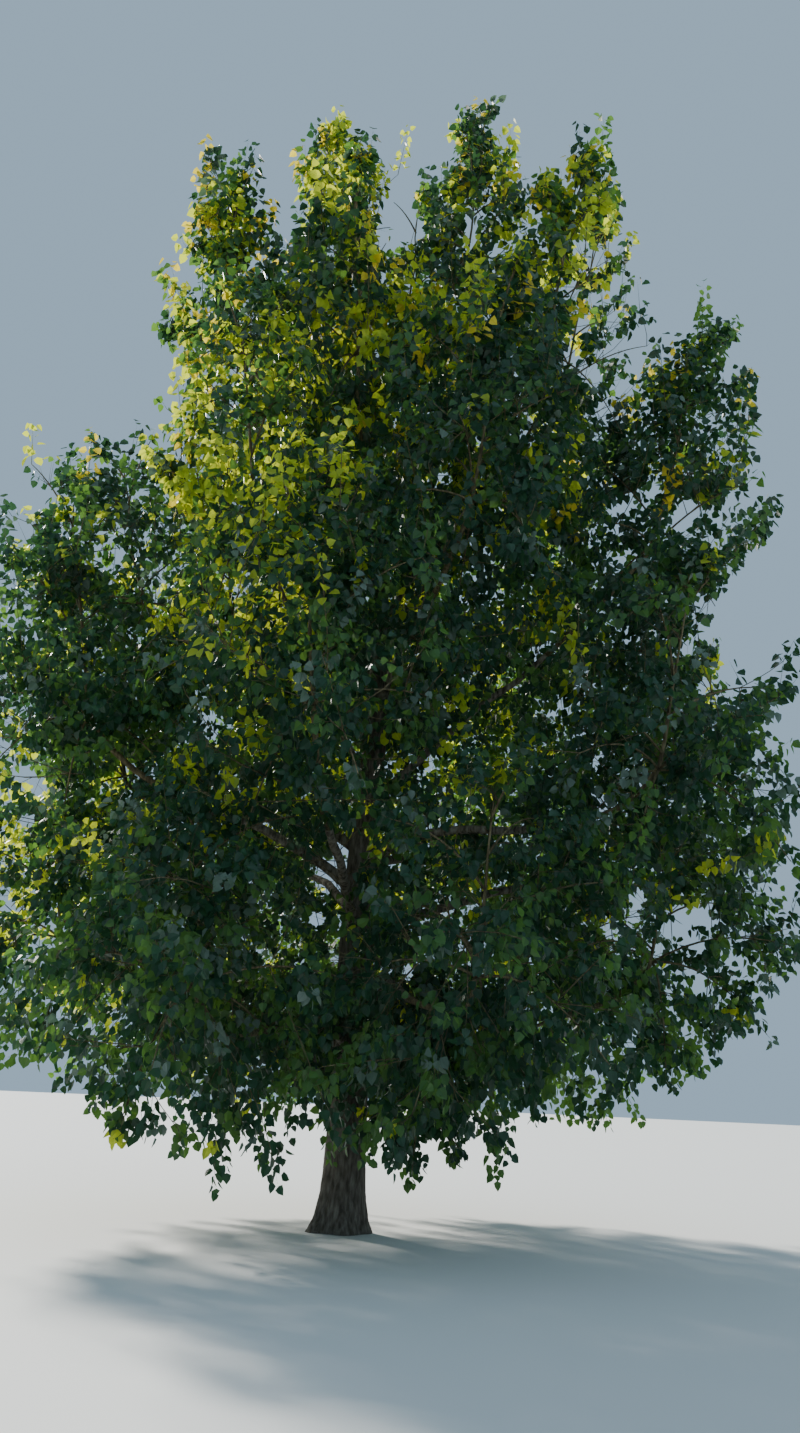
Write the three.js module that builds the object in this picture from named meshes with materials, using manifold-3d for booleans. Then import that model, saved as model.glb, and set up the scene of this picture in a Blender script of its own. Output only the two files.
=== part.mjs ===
// A broad, open-grown poplar about eighteen metres tall, in leaf, standing on level ground.
// Millimetres, +Z up. The origin is the centre of the flat cut under the trunk.
// +X is the right-hand side and +Y the far side of the view that faces the tree.
// Bearings turn in degrees from +X towards +Y.

import * as THREE from "three";
import Module from "manifold-3d";

const kernel = await Module();
kernel.setup();
const { Manifold, Mesh: SolidMesh } = kernel;

// Clear space between two parts that meet, and the room that a twig or leaf keeps from the rest.
const GAP = 0.3;
const ROOM = 2;
const SEED = 4177;

// Trunk: radius, taper, root flare and the course of its centre.
const TRUNK_RADIUS = 280;
const TRUNK_TAPER = 1.07;
const TRUNK_TOP = 17200;
const TRUNK_RUNOUT = 17400;
const TRUNK_TIP_RADIUS = 16;
const TRUNK_SIDES = 14;
const TRUNK_RINGS = 18;
const TRUNK_RING_CROWDING = 1.7;
const FLARE_RADIUS = 130;
const FLARE_HEIGHT = 280;
const FLARE_LOBES = 5;
const FLARE_LOBE_DEPTH = 0.3;
const FLARE_LOBE_TURN = 0.6;
const FLARE_LEFT_DEPTH = 0.25;
const TRUNK_COURSE = [
  [0, 0, 0],
  [15, 0, 1500],
  [0, 20, 4300],
  [140, 30, 7500],
  [-70, 10, 10600],
  [-450, -20, 14400],
  [-850, 0, 17200],
];

// Tiers of the crown, from the skirt to the crest.
// reach, top and base give each mass its distance from the trunk's foot and its two ends.
// width is the half-width of a mass, tilt its lean away from the trunk, taper how it narrows upwards.
// feet is the span of heights in which the boughs leave the trunk, rise the angle at which they leave.
const TIERS = {
  low: {
    bearings: [346, 36, 88, 138, 186, 243, 292],
    reach: [4000, 4000, 3900, 3900, 4000, 3600, 3800],
    top: [5600, 5300, 5200, 5300, 5600, 5000, 5200],
    base: [1900, 1700, 1600, 1600, 2000, 1050, 1250],
    width: 1900, tilt: 8, taper: 0.1,
    feet: [2100, 3200], rise: 30, boughRadius: 64,
  },
  mid: {
    bearings: [10, 60, 112, 160, 206, 262, 326],
    reach: [4500, 4200, 4000, 4200, 4100, 3900, 4500],
    top: [9000, 9400, 9300, 9800, 9900, 8800, 8500],
    base: [3600, 3600, 3700, 3800, 3600, 3600, 3500],
    width: 1850, tilt: 12, taper: 0.25,
    feet: [3500, 5100], rise: 38, boughRadius: 78,
  },
  high: {
    bearings: [344, 40, 92, 140, 184, 240, 294],
    reach: [4350, 3600, 3400, 3400, 3600, 3200, 3300],
    top: [13300, 13200, 13400, 13000, 11500, 11800, 12200],
    base: [6600, 6800, 7000, 6800, 6400, 6600, 6600],
    width: 1600, tilt: 14, taper: 0.32,
    feet: [5500, 7700], rise: 46, boughRadius: 62,
  },
  upper: {
    bearings: [4, 72, 130, 200, 258, 328],
    reach: [3150, 2300, 2300, 2550, 2100, 3000],
    top: [17400, 16800, 16800, 16600, 15000, 16200],
    base: [10200, 10400, 10400, 10000, 9600, 9600],
    width: 1350, tilt: 10, taper: 0.42,
    feet: [8200, 10400], rise: 50, boughRadius: 46,
  },
  crest: {
    bearings: [335, 60, 185],
    reach: [1450, 700, 950],
    top: [18400, 17800, 18300],
    base: [12600, 13200, 13000],
    width: 1100, tilt: 3, taper: 0.45,
    feet: [11600, 13000], rise: 62, boughRadius: 34,
    onTrunk: [false, true, true],
  },
  spray: {
    bearings: [312],
    reach: [1350],
    top: [2400],
    base: [650],
    width: 750, tilt: 0, taper: 0,
    feet: [1900, 1900], rise: 25, boughRadius: 16,
    onTrunk: [true],
  },
};

// Share of a tier's span of feet by which each next bough leaves higher, wrapped round.
const FOOT_STEP = 0.618;
// Narrowest that a mass gets, as a share of its width, and how much nearer its own points lie to it.
const NARROWEST = 0.2;
const OWN_MARGIN = 0.02;

// Limbs: how a bough runs from the trunk to its mass, and how it thins.
const BOUGH_SIDES = 5;
const STEM_SIDES = 3;
const COURSE_STEPS = 5;
const STEM_STATIONS = [0.4, 1];
const STATION_ROOM = 60;
const LEAVE_PULL = 0.38;
const ARRIVE_PULL = 0.34;
const ARRIVE_UPWARD = 0.8;
const ARRIVE_OUTWARD = 0.4;
const ENTRY = 0.95;
const ENTRY_STEPS = 200;
const HEART = -0.2;
const STEM_TOP = 0.72;
const FOOT_SWELL = 0.35;
const FOOT_SWELL_START = 200;
const FOOT_SWELL_LENGTH = 180;
const STEM_TIP_RADIUS = 9;
const STEM_THINNING = 0.9;
// A direction steeper than this takes its sideways direction from another axis than the upright one.
const STEEP = 0.9;

// Masses: twigs, leaves that each stand for a whole spray, and the core that they stand out of.
const PLACES = 11;
const PLACE_SPAN = 1.02;
const PLACE_SWAY = 0.5;
const PLACE_SHARE = 0.97;
const PLACE_SEEDS = 50;
const TOP_SEED = 49;
const CORE_SEED = 7000;
const TWIG_EVERY = 4;
const TWIG_SIDES = 3;
const TWIG_REACH = 0.62;
const TWIG_DROP = 0.3;
const TWIG_BELOW_TOP = 0.06;
const TWIG_ROOT_RADIUS = 16;
const TWIG_TIP_RADIUS = 7;
const TWIG_LIMIT = 0.97;
const TWIG_TESTS = [0.4, 0.6, 0.8, 1];
const TWIG_LEAF_SHARE = 0.6;
const TOP_LEAF_DEPTH = 40;
const TOP_LEAF_LIMIT = 0.98;
const CORE_LEAF_STRETCH = 1.15;
const LEAF_LENGTH = 0.62;
const LEAF_HALF_WIDTH = 0.5;
const LEAF_WIDEST_AT = 0.42;
const LEAF_THICKNESS = 0.03;
const LEAF_SINK = 0.3;
const LEAF_LIMIT = 0.995;
const LEAF_SWAY = 0.3;
const LEAF_ROLL = 0.9;
const LEAF_TRIES = 9;
const LEAF_SHRINK = 0.07;
const CORE_SIZE = 0.6;
const CORE_LUMPS = 0.12;
const CORE_ROOT = 0.8;
const GOLDEN_TURN = Math.PI * (3 - Math.sqrt(5));
const SMALLEST_EDGE = 0.25;
const GRAIN = 0.01;

const BARK = new THREE.MeshStandardMaterial({ color: 0x6d6456, roughness: 0.92, metalness: 0 });
const LEAF_ROUGHNESS = 0.75;
const LEAF_TONES = {
  low: 0x36482a,
  mid: 0x3c5129,
  high: 0x4b602c,
  upper: 0x667433,
  crest: 0x7f8237,
  spray: 0x36482a,
};

const UP = new THREE.Vector3(0, 0, 1);
const radians = THREE.MathUtils.degToRad;

// A repeatable stream of numbers from 0 to 1.
function seeded(seed) {
  let state = seed >>> 0;
  return () => {
    state = (state + 0x6d2b79f5) >>> 0;
    let t = Math.imul(state ^ (state >>> 15), 1 | state);
    t = (t + Math.imul(t ^ (t >>> 7), 61 | t)) ^ t;
    return ((t ^ (t >>> 14)) >>> 0) / 4294967296;
  };
}

// A closed solid from rings of the same number of points, capped flat at both ends.
function skin(rings) {
  const sides = rings[0].length;
  const points = rings.flat();
  const faces = [];
  for (let i = 0; i + 1 < rings.length; i++)
    for (let j = 0; j < sides; j++) {
      const a = i * sides + j;
      const b = i * sides + ((j + 1) % sides);
      faces.push(a, b, b + sides, a, b + sides, a + sides);
    }
  const last = (rings.length - 1) * sides;
  for (let j = 1; j + 1 < sides; j++)
    faces.push(0, j + 1, j, last, last + j, last + j + 1);
  return solidOf(points, faces);
}

function solidOf(points, faces) {
  return new Manifold(
    new SolidMesh({
      numProp: 3,
      vertProperties: Float32Array.from(points.flatMap((p) => [p.x, p.y, p.z])),
      triVerts: Uint32Array.from(faces),
    }),
  );
}

// Rings round a line of stations, each with its centre, direction and radius.
function tube(stations, sides) {
  let side = new THREE.Vector3();
  const rings = stations.map((station, i) => {
    const along = station.along;
    if (i === 0) side.crossVectors(along, Math.abs(along.z) > STEEP ? new THREE.Vector3(0, 1, 0) : UP);
    side = side.clone().addScaledVector(along, -side.dot(along)).normalize();
    const across = new THREE.Vector3().crossVectors(along, side);
    const ring = [];
    for (let j = 0; j < sides; j++) {
      const turn = (2 * Math.PI * j) / sides;
      ring.push(
        station.at.clone()
          .addScaledVector(side, station.radius * Math.cos(turn))
          .addScaledVector(across, station.radius * Math.sin(turn)),
      );
    }
    return ring;
  });
  return skin(rings);
}

// The trunk's centre at a height, on a smooth line through its course.
function trunkCentre(z) {
  const course = TRUNK_COURSE;
  let i = 0;
  while (i < course.length - 2 && z > course[i + 1][2]) i++;
  const slope = (k, axis) => {
    const a = course[Math.max(k - 1, 0)];
    const b = course[Math.min(k + 1, course.length - 1)];
    return (b[axis] - a[axis]) / (b[2] - a[2]);
  };
  const span = course[i + 1][2] - course[i][2];
  const u = (z - course[i][2]) / span;
  const value = (axis) =>
    (2 * u ** 3 - 3 * u ** 2 + 1) * course[i][axis] +
    (u ** 3 - 2 * u ** 2 + u) * span * slope(i, axis) +
    (3 * u ** 2 - 2 * u ** 3) * course[i + 1][axis] +
    (u ** 3 - u ** 2) * span * slope(i + 1, axis);
  return new THREE.Vector3(value(0), value(1), z);
}

function trunkRadius(z, turn) {
  const bole = Math.max(TRUNK_TIP_RADIUS, TRUNK_RADIUS * (1 - z / TRUNK_RUNOUT) ** TRUNK_TAPER);
  const lobes = FLARE_LOBE_DEPTH * Math.cos(FLARE_LOBES * turn + FLARE_LOBE_TURN);
  const left = FLARE_LEFT_DEPTH * Math.cos(turn);
  return bole + FLARE_RADIUS * Math.exp(-z / FLARE_HEIGHT) * (1 + lobes - left);
}

function trunkSolid(extra) {
  const rings = [];
  for (let i = 0; i <= TRUNK_RINGS; i++) {
    const z = TRUNK_TOP * (i / TRUNK_RINGS) ** TRUNK_RING_CROWDING;
    const centre = trunkCentre(z);
    centre.z += i === TRUNK_RINGS ? extra : 0;
    const ring = [];
    for (let j = 0; j < TRUNK_SIDES; j++) {
      const turn = (2 * Math.PI * j) / TRUNK_SIDES;
      const radius = trunkRadius(z, turn) + extra;
      const away = new THREE.Vector3(radius * Math.cos(turn), radius * Math.sin(turn), 0);
      ring.push(away.add(centre));
    }
    rings.push(ring);
  }
  return skin(rings);
}

// The masses of the crown: each a flame-shaped space with a centre, an axis and two half-sizes.
function crownMasses() {
  const list = [];
  for (const [tier, sizes] of Object.entries(TIERS))
    sizes.bearings.forEach((bearing, i) => {
      const turn = radians(bearing);
      const tilt = radians(sizes.tilt);
      const out = new THREE.Vector3(Math.cos(turn), Math.sin(turn), 0);
      const spread = (i * FOOT_STEP) % 1;
      list.push({
        tier,
        name: tier + "_" + (i + 1),
        index: list.length,
        out,
        centre: out.clone().multiplyScalar(sizes.reach[i]).setZ((sizes.top[i] + sizes.base[i]) / 2),
        axis: out.clone().multiplyScalar(Math.sin(tilt)).setZ(Math.cos(tilt)),
        half: (sizes.top[i] - sizes.base[i]) / 2 / Math.cos(tilt),
        width: sizes.width,
        taper: sizes.taper,
        foot: sizes.feet[0] + spread * (sizes.feet[1] - sizes.feet[0]),
        rise: radians(sizes.rise),
        boughRadius: sizes.boughRadius,
        onTrunk: Boolean(sizes.onTrunk && sizes.onTrunk[i]),
      });
    });
  return list;
}

// How deep a point lies in a mass: 0 on its centre, 1 on its surface.
function depthIn(mass, point) {
  const offset = point.clone().sub(mass.centre);
  const t = offset.dot(mass.axis) / mass.half;
  const spread = offset.addScaledVector(mass.axis, -t * mass.half).length();
  const width = mass.width * Math.max(NARROWEST, 1 - mass.taper * t);
  return Math.hypot(spread / width, t);
}

// A point in a mass, from its height along the axis, its turn round it and its share of the width.
function pointIn(mass, t, turn, share) {
  const side = new THREE.Vector3(-mass.out.y, mass.out.x, 0);
  const front = new THREE.Vector3().crossVectors(side, mass.axis);
  const spread = share * mass.width * Math.sqrt(Math.max(0, 1 - t * t)) * (1 - mass.taper * t);
  return mass.centre.clone()
    .addScaledVector(mass.axis, mass.half * t)
    .addScaledVector(front, spread * Math.cos(turn))
    .addScaledVector(side, spread * Math.sin(turn));
}

const masses = crownMasses();

// Whether a mass's own space holds a point, and no other mass lies as near to it.
function owns(mass, point, limit) {
  const own = depthIn(mass, point);
  if (own > limit) return false;
  return masses.every((other) => other === mass || depthIn(other, point) > own + OWN_MARGIN);
}

// The line of a limb, from the trunk's centre through the heart of its mass towards the top.
function limbCourse(mass) {
  const foot = trunkCentre(mass.foot);
  const leave = mass.out.clone().multiplyScalar(Math.cos(mass.rise)).setZ(Math.sin(mass.rise));
  const heart = mass.centre.clone().addScaledVector(mass.axis, mass.half * HEART);
  const arrive = mass.axis.clone()
    .multiplyScalar(ARRIVE_UPWARD)
    .addScaledVector(mass.out, ARRIVE_OUTWARD)
    .normalize();
  const span = foot.distanceTo(heart);
  const bend = new THREE.CubicBezierCurve3(
    foot,
    foot.clone().addScaledVector(leave, span * LEAVE_PULL),
    heart.clone().addScaledVector(arrive, -span * ARRIVE_PULL),
    heart,
  );
  const line = [];
  for (let i = 0; i <= COURSE_STEPS; i++) line.push(bend.getPoint(i / COURSE_STEPS));
  for (const share of STEM_STATIONS) line.push(pointIn(mass, HEART + (STEM_TOP - HEART) * share, 0, 0));
  const lengths = [0];
  line.forEach((p, i) => i && lengths.push(lengths[i - 1] + p.distanceTo(line[i - 1])));
  const along = line.map((p, i) =>
    line[Math.min(i + 1, line.length - 1)].clone().sub(line[Math.max(i - 1, 0)]).normalize(),
  );
  return { line, lengths, along, total: lengths[lengths.length - 1] };
}

// Centre and direction of a limb at a length from its foot.
function stationAt(course, length) {
  let i = 0;
  while (i < course.line.length - 2 && length > course.lengths[i + 1]) i++;
  const u = (length - course.lengths[i]) / (course.lengths[i + 1] - course.lengths[i]);
  return {
    at: course.line[i].clone().lerp(course.line[i + 1], u),
    along: course.along[i].clone().lerp(course.along[i + 1], u).normalize(),
  };
}

function limbRadius(mass, course, length) {
  const thinned = (mass.boughRadius - STEM_TIP_RADIUS) * (length / course.total) ** STEM_THINNING;
  const past = Math.max(0, length - FOOT_SWELL_START);
  return (mass.boughRadius - thinned) * (1 + FOOT_SWELL * Math.exp(-past / FOOT_SWELL_LENGTH));
}

// The part of a limb between two lengths, with its flat ends square to its line.
function limbPiece(mass, course, from, to, lift, extra, sides) {
  const between = course.lengths.filter((l) => l > from + STATION_ROOM && l < to - STATION_ROOM);
  const lengths = [from, ...between, to];
  const stations = lengths.map((length) => {
    const { at, along } = stationAt(course, length);
    return { at, along, radius: limbRadius(mass, course, length) + extra };
  });
  stations[0].at.addScaledVector(stations[0].along, lift);
  stations[stations.length - 1].at.addScaledVector(stations[stations.length - 1].along, extra);
  return tube(stations, sides);
}

// The length at which a limb comes into its mass.
function entryLength(mass, course) {
  for (let i = 0; i < ENTRY_STEPS; i++) {
    const length = (course.total * i) / ENTRY_STEPS;
    if (depthIn(mass, stationAt(course, length).at) < ENTRY) return length;
  }
  return course.total / 2;
}

// A lumpy ball inside a mass, from a ball of twenty faces.
function coreSolid(mass) {
  const ball = new THREE.IcosahedronGeometry(1, 0);
  const place = ball.getAttribute("position");
  const random = seeded(SEED + CORE_SEED + mass.index);
  const points = [];
  const known = new Map();
  const faces = [];
  for (let i = 0; i < place.count; i++) {
    const p = new THREE.Vector3().fromBufferAttribute(place, i);
    const key = p.toArray().map((v) => v.toFixed(3)).join();
    if (!known.has(key)) {
      known.set(key, points.length);
      const size = CORE_SIZE * (1 + CORE_LUMPS * (2 * random() - 1));
      const spread = Math.hypot(p.x, p.y) / Math.sqrt(Math.max(1e-6, 1 - (size * p.z) ** 2));
      points.push(pointIn(mass, size * p.z, Math.atan2(p.y, p.x), size * spread));
    }
    faces.push(known.get(key));
  }
  return solidOf(points, faces);
}

// A pointed leaf: broad near its root, drawn out to its tip and a little thicker along its middle.
function leafSolid(root, direction, roll, length) {
  const aside = Math.abs(direction.z) > STEEP ? new THREE.Vector3(1, 0, 0) : UP;
  const flat = new THREE.Vector3().crossVectors(direction, aside).normalize().applyAxisAngle(direction, roll);
  const normal = new THREE.Vector3().crossVectors(direction, flat);
  const at = (along, across, out) =>
    root.clone()
      .addScaledVector(direction, along * length)
      .addScaledVector(flat, across * length)
      .addScaledVector(normal, out * length);
  const widest = LEAF_WIDEST_AT;
  const points = [
    at(0, 0, 0),
    at(widest, LEAF_HALF_WIDTH, 0),
    at(1, 0, 0),
    at(widest, -LEAF_HALF_WIDTH, 0),
    at(widest, 0, LEAF_THICKNESS / 2),
    at(widest, 0, -LEAF_THICKNESS / 2),
  ];
  const faces = [4, 1, 0, 4, 2, 1, 4, 3, 2, 4, 0, 3, 5, 0, 1, 5, 1, 2, 5, 2, 3, 5, 3, 0];
  return { solid: solidOf(points, faces), corners: points.slice(0, 4) };
}

// Whether a new piece keeps its room from every limb and from every other mass.
function keepsClear(piece, mass, limbs) {
  const box = piece.boundingBox();
  const near = (other) =>
    [0, 1, 2].every((k) => other.box.min[k] < box.max[k] + ROOM && other.box.max[k] > box.min[k] - ROOM);
  const free = (other) => !near(other) || other.solid.minGap(piece, 2 * ROOM) >= ROOM;
  return (
    limbs.every(free) &&
    masses.every((other) => other === mass || !other.box || !near(other) || other.pieces.every(free))
  );
}

function kept(solid) {
  return { solid, box: solid.boundingBox() };
}

function addPiece(mass, solid) {
  const piece = kept(solid);
  mass.pieces.push(piece);
  mass.box = mass.box || { min: [...piece.box.min], max: [...piece.box.max] };
  for (let k = 0; k < 3; k++) {
    mass.box.min[k] = Math.min(mass.box.min[k], piece.box.min[k]);
    mass.box.max[k] = Math.max(mass.box.max[k], piece.box.max[k]);
  }
}

// Sets a leaf at a root point, trying a few turns and sizes of it; reports whether one fits.
function growLeaf(mass, limbs, root, direction, length, random) {
  for (let n = 0; n < LEAF_TRIES; n++) {
    const roll = (random() - 0.5) * Math.PI * LEAF_ROLL;
    const sway = new THREE.Vector3(random() - 0.5, random() - 0.5, random() - 0.5);
    const aim = direction.clone().addScaledVector(sway, LEAF_SWAY).normalize();
    const size = length * (1 - LEAF_SHRINK * n);
    const start = root.clone().addScaledVector(aim, -LEAF_SINK * size);
    const leaf = leafSolid(start, aim, roll, size);
    if (!leaf.corners.every((corner) => owns(mass, corner, LEAF_LIMIT))) continue;
    if (!keepsClear(leaf.solid, mass, [...limbs, ...mass.leaves])) continue;
    addPiece(mass, leaf.solid);
    mass.leaves.push(kept(leaf.solid));
    return true;
  }
  return false;
}

// Leaves point at places spread evenly over the mass: some stand out of the core, and the rest end a twig
// that leaves the stem below its place.
function growLeaves(mass, limbs) {
  const longest = LEAF_LENGTH * mass.width;
  const fitted = (gap) => (PLACE_SHARE * gap) / (1 - LEAF_SINK);
  const firstSeed = SEED + PLACE_SEEDS * mass.index;
  const stemTop = stationAt(mass.course, mass.course.total - TOP_LEAF_DEPTH).at;
  const topLength = Math.min(longest, (mass.half * (TOP_LEAF_LIMIT - STEM_TOP)) / (1 - LEAF_SINK));
  growLeaf(mass, limbs, stemTop, mass.axis, topLength, seeded(firstSeed + TOP_SEED));
  for (let i = 0; i < PLACES; i++) {
    const random = seeded(firstSeed + i);
    const t = PLACE_SPAN - (2 * PLACE_SPAN * (i + 0.5)) / PLACES;
    const turn = i * GOLDEN_TURN + (random() - 0.5) * PLACE_SWAY;
    const place = pointIn(mass, t, turn, 1);
    const rooted = mass.centre.clone().lerp(place, CORE_SIZE * CORE_ROOT);
    const outward = place.clone().sub(mass.centre).normalize();
    if (i % TWIG_EVERY && rooted.distanceTo(place) < longest) {
      const length = Math.min(fitted(rooted.distanceTo(place)), longest * CORE_LEAF_STRETCH);
      growLeaf(mass, limbs, rooted, outward, length, random);
      continue;
    }
    const foot = pointIn(mass, Math.max(HEART, Math.min(STEM_TOP - TWIG_BELOW_TOP, t - TWIG_DROP)), 0, 0);
    const along = place.clone().sub(foot).normalize();
    const span = foot.distanceTo(place);
    const reach = Math.max(TWIG_REACH * span, span - TWIG_LEAF_SHARE * longest);
    const end = foot.clone().addScaledVector(along, reach);
    if (!TWIG_TESTS.every((share) => owns(mass, foot.clone().lerp(end, share), TWIG_LIMIT))) continue;
    const ends = [
      { at: foot, along, radius: TWIG_ROOT_RADIUS },
      { at: end, along, radius: TWIG_TIP_RADIUS },
    ];
    const twig = tube(ends, TWIG_SIDES);
    if (!keepsClear(twig, mass, limbs)) continue;
    const length = Math.min(fitted(end.distanceTo(place)), longest);
    if (growLeaf(mass, limbs, end, along, length, random)) addPiece(mass, twig);
  }
}

function largest(solid) {
  return solid.decompose().sort((a, b) => b.volume() - a.volume())[0];
}

// The same solid on a fine grid, where a slit too thin to measure closes and a sealed hollow is filled.
function settled(solid) {
  const { vertProperties, triVerts, numProp } = solid.getMesh();
  const points = [];
  const known = new Map();
  const places = [];
  for (let i = 0; i < vertProperties.length / numProp; i++) {
    const [x, y, z] = [0, 1, 2].map((k) => Math.round(vertProperties[i * numProp + k] / GRAIN) * GRAIN);
    const key = [x, y, z].map((v) => v.toFixed(2)).join();
    if (!known.has(key)) {
      known.set(key, points.length);
      points.push(new THREE.Vector3(x, y, z));
    }
    places.push(known.get(key));
  }
  const faces = [];
  for (let i = 0; i < triVerts.length; i += 3) {
    const [a, b, c] = [0, 1, 2].map((k) => places[triVerts[i + k]]);
    if (a !== b && b !== c && c !== a) faces.push(a, b, c);
  }
  return largest(solidOf(points, faces));
}

// Joins the pieces of a mass and keeps the one body that they make.
function fused(pieces) {
  const whole = largest(Manifold.union(pieces.map((piece) => piece.solid)));
  return settled(largest(whole.simplify(SMALLEST_EDGE)));
}

function meshOf(solid, name, material) {
  const { vertProperties, triVerts, numProp } = solid.getMesh();
  const place = new Float32Array((vertProperties.length / numProp) * 3);
  for (let i = 0; i < place.length / 3; i++)
    place.set(vertProperties.subarray(i * numProp, i * numProp + 3), i * 3);
  const geometry = new THREE.BufferGeometry();
  geometry.setAttribute("position", new THREE.BufferAttribute(place, 3));
  geometry.setIndex(new THREE.BufferAttribute(triVerts, 1));
  geometry.computeVertexNormals();
  const mesh = new THREE.Mesh(geometry, material);
  mesh.name = name;
  return mesh;
}

function buildTree() {
  const tree = new THREE.Group();
  tree.name = "poplar_tree";
  const trunk = trunkSolid(0);
  const clearTrunk = trunkSolid(2 * GAP);
  tree.add(meshOf(trunk, "trunk", BARK));
  const limbs = [kept(trunk)];
  const clearLimbs = [clearTrunk];
  for (const mass of masses) {
    mass.course = limbCourse(mass);
    mass.pieces = [];
    mass.leaves = [];
    if (mass.onTrunk) continue;
    mass.entry = entryLength(mass, mass.course);
    const limb = limbPiece(mass, mass.course, 0, mass.entry, 0, 0, BOUGH_SIDES);
    const body = settled(largest(limb.subtract(clearTrunk)).simplify(SMALLEST_EDGE));
    limbs.push(kept(body));
    clearLimbs.push(limbPiece(mass, mass.course, 0, mass.entry, 0, 2 * GAP, BOUGH_SIDES));
    tree.add(meshOf(body, "bough_" + mass.name, BARK));
  }
  for (const mass of masses) {
    const [from, lift] = mass.onTrunk ? [0, 0] : [mass.entry, GAP];
    let stem = limbPiece(mass, mass.course, from, mass.course.total, lift, 0, STEM_SIDES);
    if (mass.onTrunk) stem = largest(stem.subtract(clearTrunk));
    addPiece(mass, stem);
    addPiece(mass, coreSolid(mass).subtract(Manifold.union(clearLimbs)));
  }
  for (const mass of masses) growLeaves(mass, limbs);
  for (const mass of masses) {
    const color = LEAF_TONES[mass.tier];
    const tone = new THREE.MeshStandardMaterial({ color, roughness: LEAF_ROUGHNESS, metalness: 0 });
    tree.add(meshOf(fused(mass.pieces), "foliage_" + mass.name, tone));
  }
  return tree;
}

export default buildTree();
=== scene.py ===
"""A broad, open-grown poplar in early autumn leaf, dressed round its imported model.

The trunk and boughs carry bark relief. Each mass of foliage grows on from its bough by the same seeded
rule as the model, carried to fine shoots and single leaves. Metres, +Z up, ground at zero.
"""

import logging
import math
from dataclasses import dataclass, field
from enum import Enum
from typing import Any, ClassVar

import bpy
import numpy as np
from mathutils import Matrix, Vector, noise


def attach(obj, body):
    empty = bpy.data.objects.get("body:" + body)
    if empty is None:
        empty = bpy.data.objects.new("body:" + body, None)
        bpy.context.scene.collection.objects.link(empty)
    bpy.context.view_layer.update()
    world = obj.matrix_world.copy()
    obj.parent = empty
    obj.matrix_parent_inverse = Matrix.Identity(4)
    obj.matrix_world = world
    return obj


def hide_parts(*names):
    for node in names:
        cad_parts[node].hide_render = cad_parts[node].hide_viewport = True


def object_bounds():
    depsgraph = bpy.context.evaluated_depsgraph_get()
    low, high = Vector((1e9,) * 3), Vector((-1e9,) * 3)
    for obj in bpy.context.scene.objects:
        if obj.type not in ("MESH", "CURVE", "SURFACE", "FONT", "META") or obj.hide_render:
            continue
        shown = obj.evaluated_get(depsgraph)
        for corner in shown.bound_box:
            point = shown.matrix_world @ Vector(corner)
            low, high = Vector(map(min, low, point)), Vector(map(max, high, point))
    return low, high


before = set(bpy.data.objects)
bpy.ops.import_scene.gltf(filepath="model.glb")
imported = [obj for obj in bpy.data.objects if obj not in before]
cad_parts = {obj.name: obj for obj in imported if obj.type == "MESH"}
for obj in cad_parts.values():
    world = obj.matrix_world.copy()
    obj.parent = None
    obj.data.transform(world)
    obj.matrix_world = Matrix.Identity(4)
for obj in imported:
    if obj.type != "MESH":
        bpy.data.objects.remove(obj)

MODEL_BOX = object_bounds()
LOG = logging.getLogger("poplar")
Array = np.ndarray
Skin = tuple[Array, Array]
Pair = tuple[float, float]
Vec3 = tuple[float, float, float]
Colour = tuple[float, float, float]
Tree = bpy.types.NodeTree
Socket = bpy.types.NodeSocket
SEED = 4177
SEEDS_PER_MASS = 50
GROWTH_SEED = SEED + 900
GOLDEN_TURN = math.pi * (3 - math.sqrt(5))
UP = np.array([0.0, 0.0, 1.0])
VIEWPOINT: Vec3 = (0.47, -15.0, 1.6)
SUNWARD: Vec3 = (-0.55, 0.74, 0.55)
TRUNK = "trunk"


class Slot(Enum):
    """The record's material slots."""

    BARK = "bark"
    LEAF = "leaf"


class Stream:
    """A repeatable stream of numbers from 0 to 1, the same as the model's."""

    word = 0xFFFFFFFF
    stride = 0x6D2B79F5

    def __init__(self, seed: int) -> None:
        """Starts the stream at a seed."""
        self.state = seed & self.word

    def draw(self) -> float:
        """Draws the next number.

        Returns:
            A number from 0 to 1.
        """
        self.state = (self.state + self.stride) & self.word
        t = ((self.state ^ (self.state >> 15)) * (1 | self.state)) & self.word
        t = ((t + (((t ^ (t >> 7)) * (61 | t)) & self.word)) & self.word) ^ t
        return ((t ^ (t >> 14)) & self.word) / (self.word + 1)


def unit(v: Array) -> Array:
    """Scales vectors, along the last axis, to length one."""
    return v / np.maximum(np.linalg.norm(v, axis=-1, keepdims=True), 1e-9)


def square_to(v: Array, along: Array) -> Array:
    """Turns vectors square to unit vectors along, and scales them to length one."""
    return unit(v - (v * along).sum(-1, keepdims=True) * along)


def bezier(a: Array, b: Array, c: Array, steps: int) -> Array:
    """Samples quadratic curves from a by way of b to c, with steps points on each."""
    u = np.linspace(0, 1, steps)[None, :, None]
    return (1 - u) ** 2 * a[:, None] + 2 * u * (1 - u) * b[:, None] + u**2 * c[:, None]


def points_on(lines: Array, which: Array, share: Array) -> Array:
    """Finds points on lines.

    Args:
        lines: Stations, of shape (lines, stations, 3).
        which: The number of each point's line.
        share: How far along its line each point lies, from 0 to 1.

    Returns:
        The points.
    """
    spot = share * (lines.shape[1] - 1)
    knot = np.minimum(spot.astype(int), lines.shape[1] - 2)
    part = (spot - knot)[..., None]
    return lines[which, knot] * (1 - part) + lines[which, knot + 1] * part


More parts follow.
